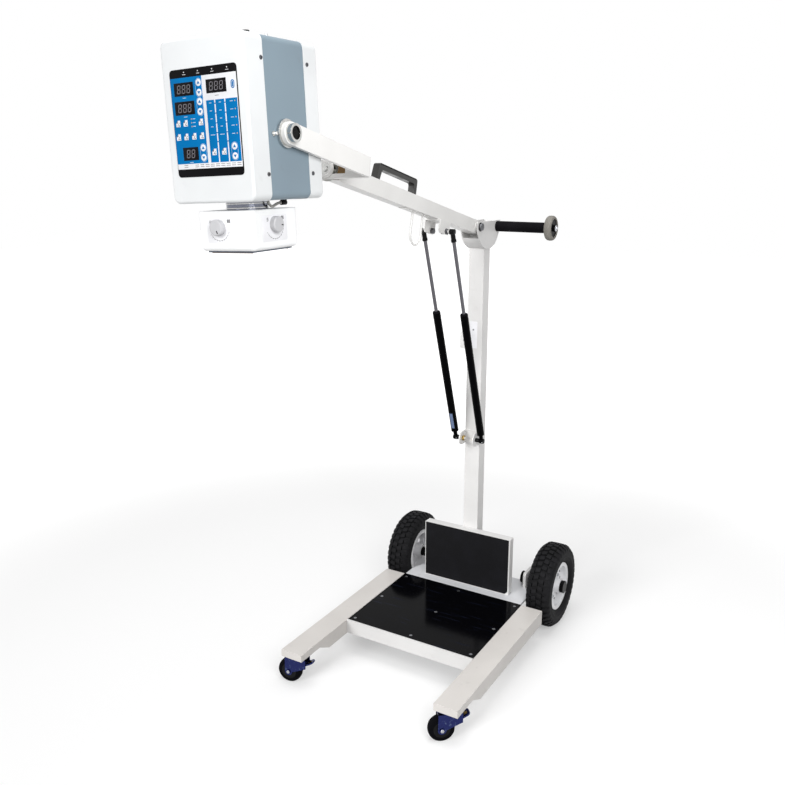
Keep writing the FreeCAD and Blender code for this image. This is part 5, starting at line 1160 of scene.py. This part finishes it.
@dataclass(frozen=True)
class Yoke:
    """The fork that carries the head, with its bushings."""

    plug_start: float = 109.2
    plug_radius: float = 11.4
    plug_rise: float = 4.5
    rib_half: float = 0.4
    plug_ribs: ClassVar[tuple[tuple[float, float], ...]] = (
        (-8.0, 6.5), (-5.3, 8.5), (-2.7, 9.5), (0.0, 10.0), (2.7, 9.5), (5.3, 8.5), (8.0, 6.5),
    )

    def build(self) -> None:
        """Dress the fork and its bushings, and add the dark plug in each trunnion's bore."""
        dress(LIT_ARM_PAINT, "yoke_frame")
        dress(CHROME, "yoke_bushings")
        for side, way in SIDES:
            bore = HEAD.facing(way).moved(z=self.plug_start)
            shells = [slab(bore, Disc(self.plug_radius), 0.0, self.plug_rise, eased=0.6)]
            for y, half in self.plug_ribs:
                rib = Tablet((-half, y - self.rib_half), (half, y + self.rib_half), 0.2)
                shells.append(slab(bore, rib, self.plug_rise - 0.1, self.plug_rise + 0.5))
            make_piece(f"trunnion_plug_{side}", shells, BLACK_NYLON_AND_PAINTED_SHADE, "head")


# ---------------------------------------------------------------- head


@dataclass(frozen=True)
class HeadCase:
    """The head's shells, its band, screws, top fittings, neck and short cable."""

    half_width: float = 94.5
    front: float = -98.0
    bottom: float = -115.0
    screw_depths: ClassVar[tuple[float, ...]] = (42.0, 173.5)
    screw_heights: ClassVar[tuple[float, ...]] = (45.6, 236.5)
    screw_head: float = 7.5
    screw_rise: float = 2.2
    pin_spot: ClassVar[tuple[float, ...]] = (93.0, -35.0, -1.0)
    pin: ClassVar[Profile] = (
        (2.2, 0.0), (2.2, 4.0), (1.6, 4.6), (1.6, 5.6), (3.0, 6.6), (3.5, 8.2), (3.0, 9.8),
        (1.4, 10.9), (0.1, 11.2),
    )
    pin_nut: ClassVar[Nut] = Nut(8.0, 0.0, 2.6, 0.4)
    beam_depth: float = -6.75
    lip: ClassVar[Profile] = ((38.2, -1.2), (39.6, -0.8), (39.6, 0.8), (38.2, 1.2))
    lip_heights: ClassVar[tuple[float, ...]] = (-118.5, -126.5)
    cap_spot: ClassVar[tuple[float, ...]] = (72.0, -63.0, 162.0)
    cap_radius: float = 6.5
    stud_spot: ClassVar[tuple[float, ...]] = (72.0, -8.0, 161.0)
    stud_radius: float = 2.5
    stud_rise: float = 5.9

    def build(self) -> None:
        """Dress the shells, neck, cable and tank, and add screws, pin, lips, cap and stud."""
        dress(SHELL_PAINT, "front_shell", "rear_shell")
        dress(BAND_PAINT, "centre_band")
        dress(CHROME, "head_trunnions")
        side = HEAD.moved(*self.pin_spot).facing("+X")
        pin = [lathe(side, self.pin, steps=24), self.pin_nut.on(side)]
        make_piece("index_pin", pin, CHROME, "head")
        dress(TANK_ALUMINIUM, "tube_housing")
        dress(NECK_STEEL, "neck_ring")
        levels = [HEAD.moved(y=self.beam_depth, z=height) for height in self.lip_heights]
        lips = [lathe(level, self.lip, steps=72, ring=True) for level in levels]
        make_piece("neck_lips", lips, CHROME, "head")
        dress(CABLE_JACKET, "head_cable")
        dress(BLACK_NYLON_AND_PAINTED_SHADE, "cable_gland")
        screws = []
        for _, way in SIDES:
            for depth in self.screw_depths:
                for height in self.screw_heights:
                    level = HEAD.moved(y=self.front + depth, z=self.bottom + height)
                    spot = level.facing(way).moved(z=self.half_width)
                    screws.append(cross_screw(spot, self.screw_head, self.screw_rise))
        make_piece("shell_screws", screws, DARK_SCREW, "head")
        cap = slab(HEAD.moved(*self.cap_spot), Disc(self.cap_radius), 0.0, 4.0, 1.2)
        make_piece("top_cap", [cap], BLACK_RUBBER, "head", ["top_fittings"])
        stud = slab(HEAD.moved(*self.stud_spot), Disc(self.stud_radius, steps=20), 0.0, self.stud_rise, 0.8)
        make_piece("top_stud", [stud], ZINC, "head")


class Glyph(Enum):
    """The plain marks on the panel's keys."""

    UP = ((-3.4, -2.0), (3.4, -2.0), (0.0, 3.0))
    DOWN = ((0.0, -3.0), (3.4, 2.0), (-3.4, 2.0))


@dataclass(frozen=True)
class Display:
    """A display window by its two corners and how many digits it shows."""

    low: Point
    high: Point
    digits: int

    def middle(self) -> Point:
        """Return the window's centre."""
        return (self.low[0] + self.high[0]) / 2, (self.low[1] + self.high[1]) / 2


@dataclass(frozen=True)
class ControlPanel:
    """The membrane panel on the head's front: inks, displays, keys and lamps in thin layers.

    The face, film, ink, mark and key are levels outwards from the tilt axis. A layer starts at the
    top of the one that it lies on, or a little below it.
    """

    face: float = 98.0
    film: float = 98.5
    ink: float = 98.62
    mark: float = 98.72
    key: float = 98.95
    overlap: float = 0.05
    case_bottom: float = -115.0
    digit_bar: float = 1.4
    digit_lean: float = 0.12
    digit_width: float = 7.8
    digit_share: float = 0.64
    digit_pitch: float = 11.2
    key_radius: float = 5.85
    key_half: float = 6.4
    well_half: float = 6.8
    ring_half: float = 7.3
    lamp_radius: float = 1.2
    light_height: float = 221.5
    light_text: float = 217.6
    low: tuple[float, float] = (-76.0, 46.0)
    high: tuple[float, float] = (76.0, 227.0)
    blue_field: ClassVar[tuple[Point, Point]] = ((-75.2, 69.0), (-3.0, 213.0))
    white_fields: ClassVar[tuple[tuple[Point, Point], ...]] = (
        ((-3.0, 69.0), (73.8, 213.0)), ((-75.2, 60.0), (73.8, 69.2)),
    )
    columns: ClassVar[tuple[Point, ...]] = ((3.5, 21.8), (24.2, 44.2), (46.6, 72.6))
    column_foot: float = 69.0
    column_head: float = 172.0
    gaps: ClassVar[tuple[Point, ...]] = ((21.0, 25.0), (43.5, 47.5))
    bridges: ClassVar[tuple[float, ...]] = (166.0, 150.0, 134.0, 118.0, 103.0)
    bridge_half: float = 0.9
    lights: ClassVar[tuple[float, ...]] = (-42.0, -10.0, 22.0, 55.0)
    pill: ClassVar[tuple[Point, Point]] = ((61.0, 187.0), (69.0, 201.0))
    pill_window: ClassVar[tuple[Point, Point]] = ((62.8, 188.8), (67.2, 199.2))
    pill_core: ClassVar[tuple[Point, Point]] = ((63.5, 189.6), (66.5, 198.4))
    round_keys: ClassVar[tuple[tuple[float, float, Glyph], ...]] = (
        (-10.6, 202.4, Glyph.UP), (-10.6, 186.2, Glyph.DOWN), (-11.0, 171.2, Glyph.UP),
        (-11.5, 155.0, Glyph.DOWN), (-12.0, 94.6, Glyph.UP), (-12.3, 78.4, Glyph.DOWN),
        (59.0, 94.0, Glyph.UP), (59.0, 78.0, Glyph.DOWN),
    )
    square_keys: ClassVar[tuple[Point, ...]] = (
        (-64.9, 137.7), (-47.6, 137.7), (-11.7, 137.7), (-66.5, 114.9), (-48.6, 114.9),
        (-30.0, 114.9), (-12.1, 114.9), (13.3, 86.5), (35.6, 86.5),
    )
    displays: ClassVar[tuple[Display, ...]] = (
        Display((-68.0, 183.0), (-23.0, 205.0), 3), Display((-69.5, 151.6), (-23.5, 174.0), 3),
        Display((-59.6, 74.7), (-23.7, 97.0), 2), Display((6.0, 183.0), (51.0, 205.5), 3),
    )
    lamps: ClassVar[tuple[Point, ...]] = (
        (-33.6, 144.0), (-33.6, 137.8), (-33.6, 131.6), (67.0, 167.2), (67.0, 154.2),
        (67.0, 141.2), (67.0, 128.1), (67.0, 114.8),
    )
    page: ClassVar[tuple[Point, ...]] = ((-5.0, -5.2), (4.6, -5.2), (4.6, 5.4), (-0.8, 5.4), (-5.0, 0.6))
    page_lines: ClassVar[tuple[tuple[Point, ...], ...]] = (
        ((-4.8, 0.8), (-0.9, 0.8), (-0.9, 5.2)),
        ((-2.6, -3.8), (-1.6, -4.2), (2.9, 1.0), (2.1, 1.7)),
        ((0.4, -4.2), (3.4, -4.2), (3.4, -2.6), (0.4, -2.6)),
    )
    note_starts: ClassVar[tuple[float, ...]] = (
        -60.0, -34.0, -22.0, -10.0, 2.0, 14.0, 26.0, 38.0, 50.0, 62.0,
    )
    note_heights: ClassVar[tuple[float, ...]] = (63.2, 66.4)
    note_length: float = 9.0

    def place(self) -> Place:
        """Return the panel's frame: X across, Y up from the case's bottom, Z outwards."""
        return HEAD.moved(z=self.case_bottom).facing("-Y")

    def plate(self, low: Point, high: Point, level: float, top: float, corner: float = 0.4) -> Shell:
        """Return a thin rounded rectangle of the panel's layers.

        Args:
            low: Its low corner on the panel.
            high: Its high corner.
            level: Where it starts, outwards from the tilt axis.
            top: Where it ends.
            corner: Its corners' radius.

        Returns:
            A closed shell whose upper rim is eased by half its height, or 0.12 where that is less.
        """
        return slab(self.place(), Tablet(low, high, corner), level, top, min(0.12, (top - level) / 2))

    def legend(self, x: float, y: float, length: float) -> Shell:
        """Return a pale printed bar that runs right from x."""
        return self.plate((x, y - 0.5), (x + length, y + 0.5), self.ink - 0.02, self.mark, 0.3)

    def note(self, x: float, y: float) -> Shell:
        """Return a bar of small print on the white, which runs right from x."""
        return self.plate((x, y - 0.5), (x + self.note_length, y + 0.5), self.ink - 0.1, self.ink, 0.2)

    def digit(self, x: float, y: float, width: float, height: float) -> list[Shell]:
        """Return a display digit's seven bars, each a long hexagon in the cell round (x, y)."""
        bar = self.digit_bar
        half, rise = width / 2, height / 2
        lean = self.digit_lean
        across = ((-half + bar, 0.0), (-half + 1.5 * bar, -bar / 2), (half - 1.5 * bar, -bar / 2))
        across += ((half - bar, 0.0), (half - 1.5 * bar, bar / 2), (-half + 1.5 * bar, bar / 2))
        upright = ((-bar / 2, 0.6 * bar), (0.0, 0.2 * bar), (bar / 2, 0.6 * bar))
        shift, top = lean * rise, rise - 0.7 * bar
        upright += ((bar / 2 + shift, top), (shift, top + 0.4 * bar), (shift - bar / 2, top))
        shells = []
        for level in (-rise + bar / 2, 0.0, rise - bar / 2):
            spot = self.place().moved(x + lean * level, y + level)
            shells.append(slab(spot, Corners(across), self.mark, self.mark + 0.1))
        for side in (-half + bar / 2, half - bar / 2):
            for lift in (-rise, 0.0):
                spot = self.place().moved(x + side + lean * lift, y + lift)
                shells.append(slab(spot, Corners(upright), self.mark, self.mark + 0.1))
        return shells

    def inks(self) -> None:
        """Make the black film and the white and blue inks on it."""
        base = self.plate(self.low, self.high, self.face, self.film, 6.5)
        make_piece("panel_film", [base], BLACK_FILM, "head", ["control_panel"])
        under = self.film - self.overlap
        white = [self.plate(*field, under, self.ink - self.overlap) for field in self.white_fields]
        for x in self.lights:
            spot = self.place().moved(x, self.light_height)
            white.append(slab(spot, Disc(1.0, steps=16), under, self.ink))
            text = ((x - 3.4, self.light_text - 0.4), (x + 3.4, self.light_text + 0.4))
            white.append(self.plate(*text, under, self.ink))
        make_piece("panel_white_ink", white, WHITE_FILM, "head")
        blue = [self.plate(*self.blue_field, under, self.ink)]
        for left, right in self.columns:
            foot, head = (left, self.column_foot), (right, self.column_head)
            blue.append(self.plate(foot, head, self.film, self.ink))
        for height in self.bridges:
            low, high = height - self.bridge_half, height + self.bridge_half
            for left, right in self.gaps:
                blue.append(self.plate((left, low), (right, high), self.film, self.ink, 0.1))
        blue.append(self.plate(*self.pill, self.film, self.ink, 3.9))
        make_piece("panel_blue_ink", blue, BLUE_FILM, "head")
        window = self.plate(*self.pill_window, self.ink - self.overlap, self.mark, 2.1)
        make_piece("panel_pill", [window], WHITE_FILM, "head")
        core = self.plate(*self.pill_core, self.mark - self.overlap, self.mark + 0.08, 1.4)
        make_piece("panel_pill_core", [core], BLUE_FILM, "head")

    def windows(self) -> None:
        """Make the dark display windows with their unlit digits."""
        windows: list[Shell] = []
        digits: list[Shell] = []
        under = self.ink - self.overlap
        for display in self.displays:
            windows.append(self.plate(display.low, display.high, under, self.mark + 0.04, 0.8))
            x, y = display.middle()
            height = self.digit_share * (display.high[1] - display.low[1])
            for k in range(display.digits):
                shift = (k - (display.digits - 1) / 2) * self.digit_pitch
                digits += self.digit(x + shift, y, self.digit_width, height)
        make_piece("panel_displays", windows, DISPLAY, "head")
        make_piece("panel_digits", digits, SEGMENT, "head")

    def wells(self) -> None:
        """Make the pale rings round each pair of round keys and the blue wells inside them."""
        rings: list[Shell] = []
        wells: list[Shell] = []
        for (x, high, _), (_, low, _) in zip(self.round_keys[::2], self.round_keys[1::2]):
            for shells, half, level, top in (
                (rings, self.ring_half, self.ink - self.overlap, self.ink + 0.02),
                (wells, self.well_half, self.ink, self.ink + 0.04),
            ):
                foot, head = (x - half, low - half), (x + half, high + half)
                shells.append(self.plate(foot, head, level, top, half - 0.1))
        make_piece("panel_key_rings", rings, GREY_FILM, "head")
        make_piece("panel_key_wells", wells, BLUE_FILM, "head")

    def notes(self) -> None:
        """Make the small print: a bar below the right display and two rows along the foot."""
        bars = [self.note(24.0, 178.7)]
        bars += [self.note(left, height) for height in self.note_heights for left in self.note_starts]
        make_piece("panel_notes", bars, SEGMENT, "head")

    def keys(self) -> None:
        """Make the embossed keys: round ones with arrows, and square ones with a drawn page."""
        caps: list[Shell] = []
        marks: list[Shell] = []
        strokes: list[Shell] = []
        for x, y, glyph in self.round_keys:
            spot = self.place().moved(x, y)
            caps.append(slab(spot, Disc(self.key_radius, steps=28), self.ink - self.overlap, self.key, 0.25))
            marks.append(slab(spot, Corners(glyph.value), self.key - self.overlap, self.key + 0.08))
        square = Tablet((-self.key_half, -self.key_half), (self.key_half, self.key_half), 1.4)
        for x, y in self.square_keys:
            spot = self.place().moved(x, y)
            marks.append(slab(spot, square, self.ink - self.overlap, self.key - 0.1, 0.2))
            caps.append(slab(spot, Corners(self.page), self.key - 0.2, self.key))
            for line in self.page_lines:
                strokes.append(slab(spot, Corners(line), self.key - self.overlap, self.key + 0.06))
        make_piece("panel_keys", caps, WHITE_FILM, "head")
        make_piece("panel_key_marks", marks, BLUE_FILM, "head")
        make_piece("panel_key_strokes", strokes, SEGMENT, "head")

    def lamps_and_legends(self) -> None:
        """Make the lamps and the pale bars beside them, below the displays and down the columns."""
        lamp = Disc(self.lamp_radius, steps=16)
        lamps: list[Shell] = []
        legends: list[Shell] = []
        for x, y in self.lamps:
            lamps.append(slab(self.place().moved(x, y), lamp, self.ink - self.overlap, self.key, 0.4))
            legends.append(self.legend(x + 2.6 if x < 0 else x - 11.0, y, 6.5))
        for display in self.displays[:3]:
            x, low = display.middle()[0], display.low[1]
            text = ((x - 4.0, low - 3.8), (x + 4.0, low - 2.9))
            legends.append(self.plate(*text, self.ink - 0.02, self.mark, 0.3))
        for left, right in self.columns[:2]:
            for _, height in self.lamps[3:]:
                half = 2.6 if height > 120.0 else 5.0
                legends.append(self.legend((left + right) / 2 - half, height, 2 * half))
        make_piece("panel_lamps", lamps, TAN_LENS, "head")
        make_piece("panel_legends", legends, GREY_FILM, "head")

    def build(self) -> None:
        """Make the panel from its film up."""
        self.inks()
        self.windows()
        self.wells()
        self.notes()
        self.keys()
        self.lamps_and_legends()


@dataclass(frozen=True)
class Collimator:
    """The beam box under the head with its two dials.

    A symbol is a bar's centre from the knob's, its half width and its half height.
    """

    front: float = -73.5
    half_width: float = 64.6
    bottom: float = -201.6
    front_knob: Point = (-13.5, -158.7)
    side_knob: Point = (-11.5, -157.0)
    front_plate: ClassVar[Tablet] = Tablet((-28.5, -27.3), (34.5, 16.7), 3.0)
    side_plate: ClassVar[Tablet] = Tablet((-36.5, -30.0), (35.5, 17.0), 3.0)
    front_scale: float = 23.5
    side_scale: float = 26.0
    scale_turn: ClassVar[Point] = (215.0, 340.0)
    tick_turn: ClassVar[Point] = (212.0, 338.0)
    ticks: int = 10
    plate_rise: float = 0.22
    knob_top: float = 11.3
    pointer: ClassVar[Tablet] = Tablet((-1.0, -11.5), (1.0, -6.0), 0.8)
    front_pointer: float = 25.0
    side_pointer: float = 80.0
    frame_bars: ClassVar[tuple[Tablet, ...]] = (
        Tablet((-54.0, -63.0), (54.0, -52.0), 1.0), Tablet((-54.0, 39.0), (54.0, 50.0), 1.0),
        Tablet((-54.0, -52.5), (-43.0, 39.5), 1.0), Tablet((43.0, -52.5), (54.0, 39.5), 1.0),
    )
    symbols: ClassVar[tuple[tuple[float, float, float, float], ...]] = (
        (20.5, 11.0, 0.9, 3.2), (23.2, 11.0, 0.9, 3.2), (26.0, 11.0, 0.9, 3.2),
        (-20.0, 11.6, 2.6, 0.5), (-20.0, 9.2, 2.6, 0.5), (-20.0, 6.8, 2.6, 0.5),
    )
    glint_strips: ClassVar[tuple[Tablet, ...]] = (
        Tablet((-48.0, -60.0), (48.0, -57.0), 1.0), Tablet((-48.0, 44.0), (48.0, 47.0), 1.0),
    )

    def dial(self, name: str, face: Place, outline: Tablet, radius: float) -> None:
        """Make a dial's printed plate with an arc scale below its knob.

        Args:
            name: What the dial's pieces are called after.
            face: The knob's centre on the box's wall, with Z outwards.
            outline: The plate's outline about the knob's centre.
            radius: The scale's radius.
        """
        plate = slab(face, outline, 0.0, self.plate_rise, 0.1)
        make_piece(f"{name}_dial_plate", [plate], DIAL_PLATE, "head")
        top = self.plate_rise + 0.05
        lines = [arc_band(face, radius, radius + 0.45, *self.scale_turn, 0.1, top)]
        for x, y, half, rise in self.symbols:
            lines.append(slab(face, Tablet((x - half, y - rise), (x + half, y + rise), 0.3), 0.1, top))
        for angle in np.linspace(*self.tick_turn, self.ticks):
            tick = face.turned(angle)
            lines.append(slab(tick, Tablet((radius - 0.8, -0.25), (radius + 2.0, 0.25), 0.1), 0.1, top))
        make_piece(f"{name}_dial_scale", lines, BLACK_FILM, "head")

    def build(self) -> None:
        """Dress the box, its window, blades and knobs, and add plates, pointers, frame and strips of painted
        glint.
        """
        dress(LIT_BOX_PAINT, "collimator_housing")
        dress(WINDOW, "collimator_window")
        dress(BLADE_STEEL, "blade_left", "blade_right", "blade_front", "blade_rear")
        dress(KNOB_PLASTIC, "knob_front", "knob_side")
        front = HEAD.moved(self.front_knob[0], self.front, self.front_knob[1]).facing("-Y")
        side = HEAD.moved(self.half_width, *self.side_knob).facing("+X")
        self.dial("front", front, self.front_plate, self.front_scale)
        self.dial("side", side, self.side_plate, self.side_scale)
        for name, face, lean in (("front", front, self.front_pointer), ("side", side, self.side_pointer)):
            bar = slab(face.moved(z=self.knob_top).turned(lean), self.pointer, 0.0, 0.5, 0.2)
            make_piece(f"{name}_knob_pointer", [bar], BLACK_FILM, f"knob_{name}")
        under = HEAD.moved(z=self.bottom).facing("-Z")
        bars = [slab(under, bar, -0.4, 3.0, 0.6) for bar in self.frame_bars]
        make_piece("window_frame", bars, FRAME_PLASTIC, "head")
        # Brown strips along the window's front and rear edges: painted glints at the box's lower edge.
        glint_strips = [slab(under, strip, 2.6, 4.4, 0.5) for strip in self.glint_strips]
        make_piece("window_painted_glints", glint_strips, PHENOLIC_AND_PAINTED_GLINT, "head")


# ---------------------------------------------------------------- studio


@dataclass(frozen=True)
class Studio:
    """The camera, three soft lamps, the even room and the floor."""

    camera_point: ClassVar[tuple[float, ...]] = (1.0651, -1.8054, 1.40765)
    camera_axes: ClassVar[tuple[tuple[float, ...], ...]] = (
        (0.8581, -0.1319, 0.4963),
        (0.5135, 0.2253, -0.8280),
        (-0.0026, 0.9653, 0.2611),
    )
    lens: float = 38.99
    sensor: float = 36.0
    clip_end: float = 60.0
    unit_middle: ClassVar[tuple[float, ...]] = (0.0, 0.0, 0.9)
    lamps: ClassVar[dict[str, tuple[tuple[float, float, float], float, float]]] = {
        "key_lamp": ((-1.7, -6.3, 3.6), 0.0, 2.0),
        "side_lamp": ((1.6, -1.3, 2.0), 1.2, 35.0),
        "top_lamp": ((0.3, -0.2, 5.2), 2.6, 90.0),
    }
    room_light: float = 0.34
    paper: str = "#c7c7c7"
    floor_half: float = 12.0
    floor_glow: float = 0.385
    far_lamp_angle: float = math.radians(24)
    near_floor: float = 1.3
    far_floor: float = 3.2

    def camera(self) -> None:
        """Stand the camera three quarters from the front and above the arm."""
        data = bpy.data.cameras.new("studio_camera")
        data.lens = self.lens
        data.sensor_width = self.sensor
        data.clip_end = self.clip_end
        holder = bpy.data.objects.new("studio_camera", data)
        bpy.context.scene.collection.objects.link(holder)
        turn = Matrix(self.camera_axes).to_4x4()
        holder.matrix_world = Matrix.Translation(self.camera_point) @ turn
        bpy.context.scene.camera = holder

    def lamp(self, name: str, spot: tuple[float, float, float], size: float, power: float) -> None:
        """Hang a square soft lamp that faces the unit's middle.

        Args:
            name: The lamp's name.
            spot: Where it hangs, in metres.
            size: Its side in metres, or 0 for a wide far lamp that lights all heights alike.
            power: Its power in watts, or the far lamp's watts per square metre.
        """
        data = bpy.data.lights.new(name, "AREA" if size else "SUN")
        if size:
            data.size = size
        else:
            data.angle = self.far_lamp_angle
        data.energy = power
        holder = bpy.data.objects.new(name, data)
        bpy.context.scene.collection.objects.link(holder)
        back = unit(np.array(spot) - np.array(self.unit_middle))
        right = unit(np.cross([0, 0, 1], back))
        axes = np.column_stack([right, np.cross(back, right), back])
        holder.matrix_world = Matrix.Translation(spot) @ Matrix(axes.tolist()).to_4x4()

    def seen(self, tree: bpy.types.NodeTree) -> Any:
        """Return 1 for the rays that look at the room: the camera's, mirrored and clear ones."""
        path = add_node(tree, "LightPath", {})
        either = {0: path.outputs["Is Camera Ray"], 1: path.outputs["Is Glossy Ray"]}
        first = add_node(tree, "Math", either, operation="MAXIMUM").outputs[0]
        both = {0: first, 1: path.outputs["Is Transmission Ray"]}
        return add_node(tree, "Math", both, operation="MAXIMUM").outputs[0]

    def room(self) -> None:
        """Light the room evenly; where it is looked at, it is plain white."""
        world = bpy.data.worlds.new("studio_room")
        world.use_nodes = True
        tree = world.node_tree
        tree.nodes.clear()
        strength = {"Value": self.seen(tree), "To Min": self.room_light, "To Max": 1.0}
        level = add_node(tree, "MapRange", strength).outputs[0]
        light = add_node(tree, "Background", {"Color": linear("#ffffff"), "Strength": level})
        add_node(tree, "OutputWorld", {"Surface": light.outputs[0]})
        bpy.context.scene.world = world

    def floor(self) -> None:
        """Lay the pale floor, which glows a little where it is looked at and keeps its shadows."""
        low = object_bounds()[0][2]
        half = self.floor_half
        corners = [(-half, -half, low), (half, -half, low), (half, half, low), (-half, half, low)]
        mesh = bpy.data.meshes.new("studio_floor")
        mesh.from_pydata(corners, [], [(0, 1, 2, 3)])
        floor = bpy.data.objects.new("studio_floor", mesh)
        bpy.context.scene.collection.objects.link(floor)
        material = bpy.data.materials.new("white_paper_floor")
        material.use_nodes = True
        tree = material.node_tree
        tree.nodes.clear()
        paper = add_node(tree, "BsdfDiffuse", {"Color": linear(self.paper)})
        spot = add_node(tree, "TexCoord", {}).outputs["Object"]
        away = add_node(tree, "VectorMath", {0: spot}, operation="LENGTH").outputs["Value"]
        glow = {"Value": away, "From Min": self.near_floor, "From Max": self.far_floor}
        glow |= {"To Min": self.floor_glow, "To Max": 1.0}
        bright = add_node(tree, "MapRange", glow, interpolation_type="SMOOTHSTEP").outputs[0]
        level = add_node(tree, "Math", {0: bright, 1: self.seen(tree)}, operation="MULTIPLY").outputs[0]
        shine = add_node(tree, "Emission", {"Color": linear("#ffffff"), "Strength": level})
        both = add_node(tree, "AddShader", {0: paper.outputs[0], 1: shine.outputs[0]})
        add_node(tree, "OutputMaterial", {"Surface": both.outputs[0]})
        mesh.materials.append(material)
        floor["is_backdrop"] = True

    def build(self) -> None:
        """Set up the camera, the lamps, the room and the floor."""
        self.camera()
        for name, (spot, size, power) in self.lamps.items():
            self.lamp(name, spot, size, power)
        self.room()
        self.floor()
        bpy.context.scene.view_settings.view_transform = "Standard"


def main() -> None:
    """Build the studio and every sub-assembly, from the floor up to the head."""
    logging.basicConfig(level=logging.INFO, format="%(message)s")
    Studio().build()
    for assembly in (
        RearWheels(), CartFrame(), Casters(), Column(), PushGrip(), GasStruts(), Arm(), Yoke(),
        HeadCase(), ControlPanel(), Collimator(),
    ):
        assembly.build()


if __name__ == "__main__":
    main()
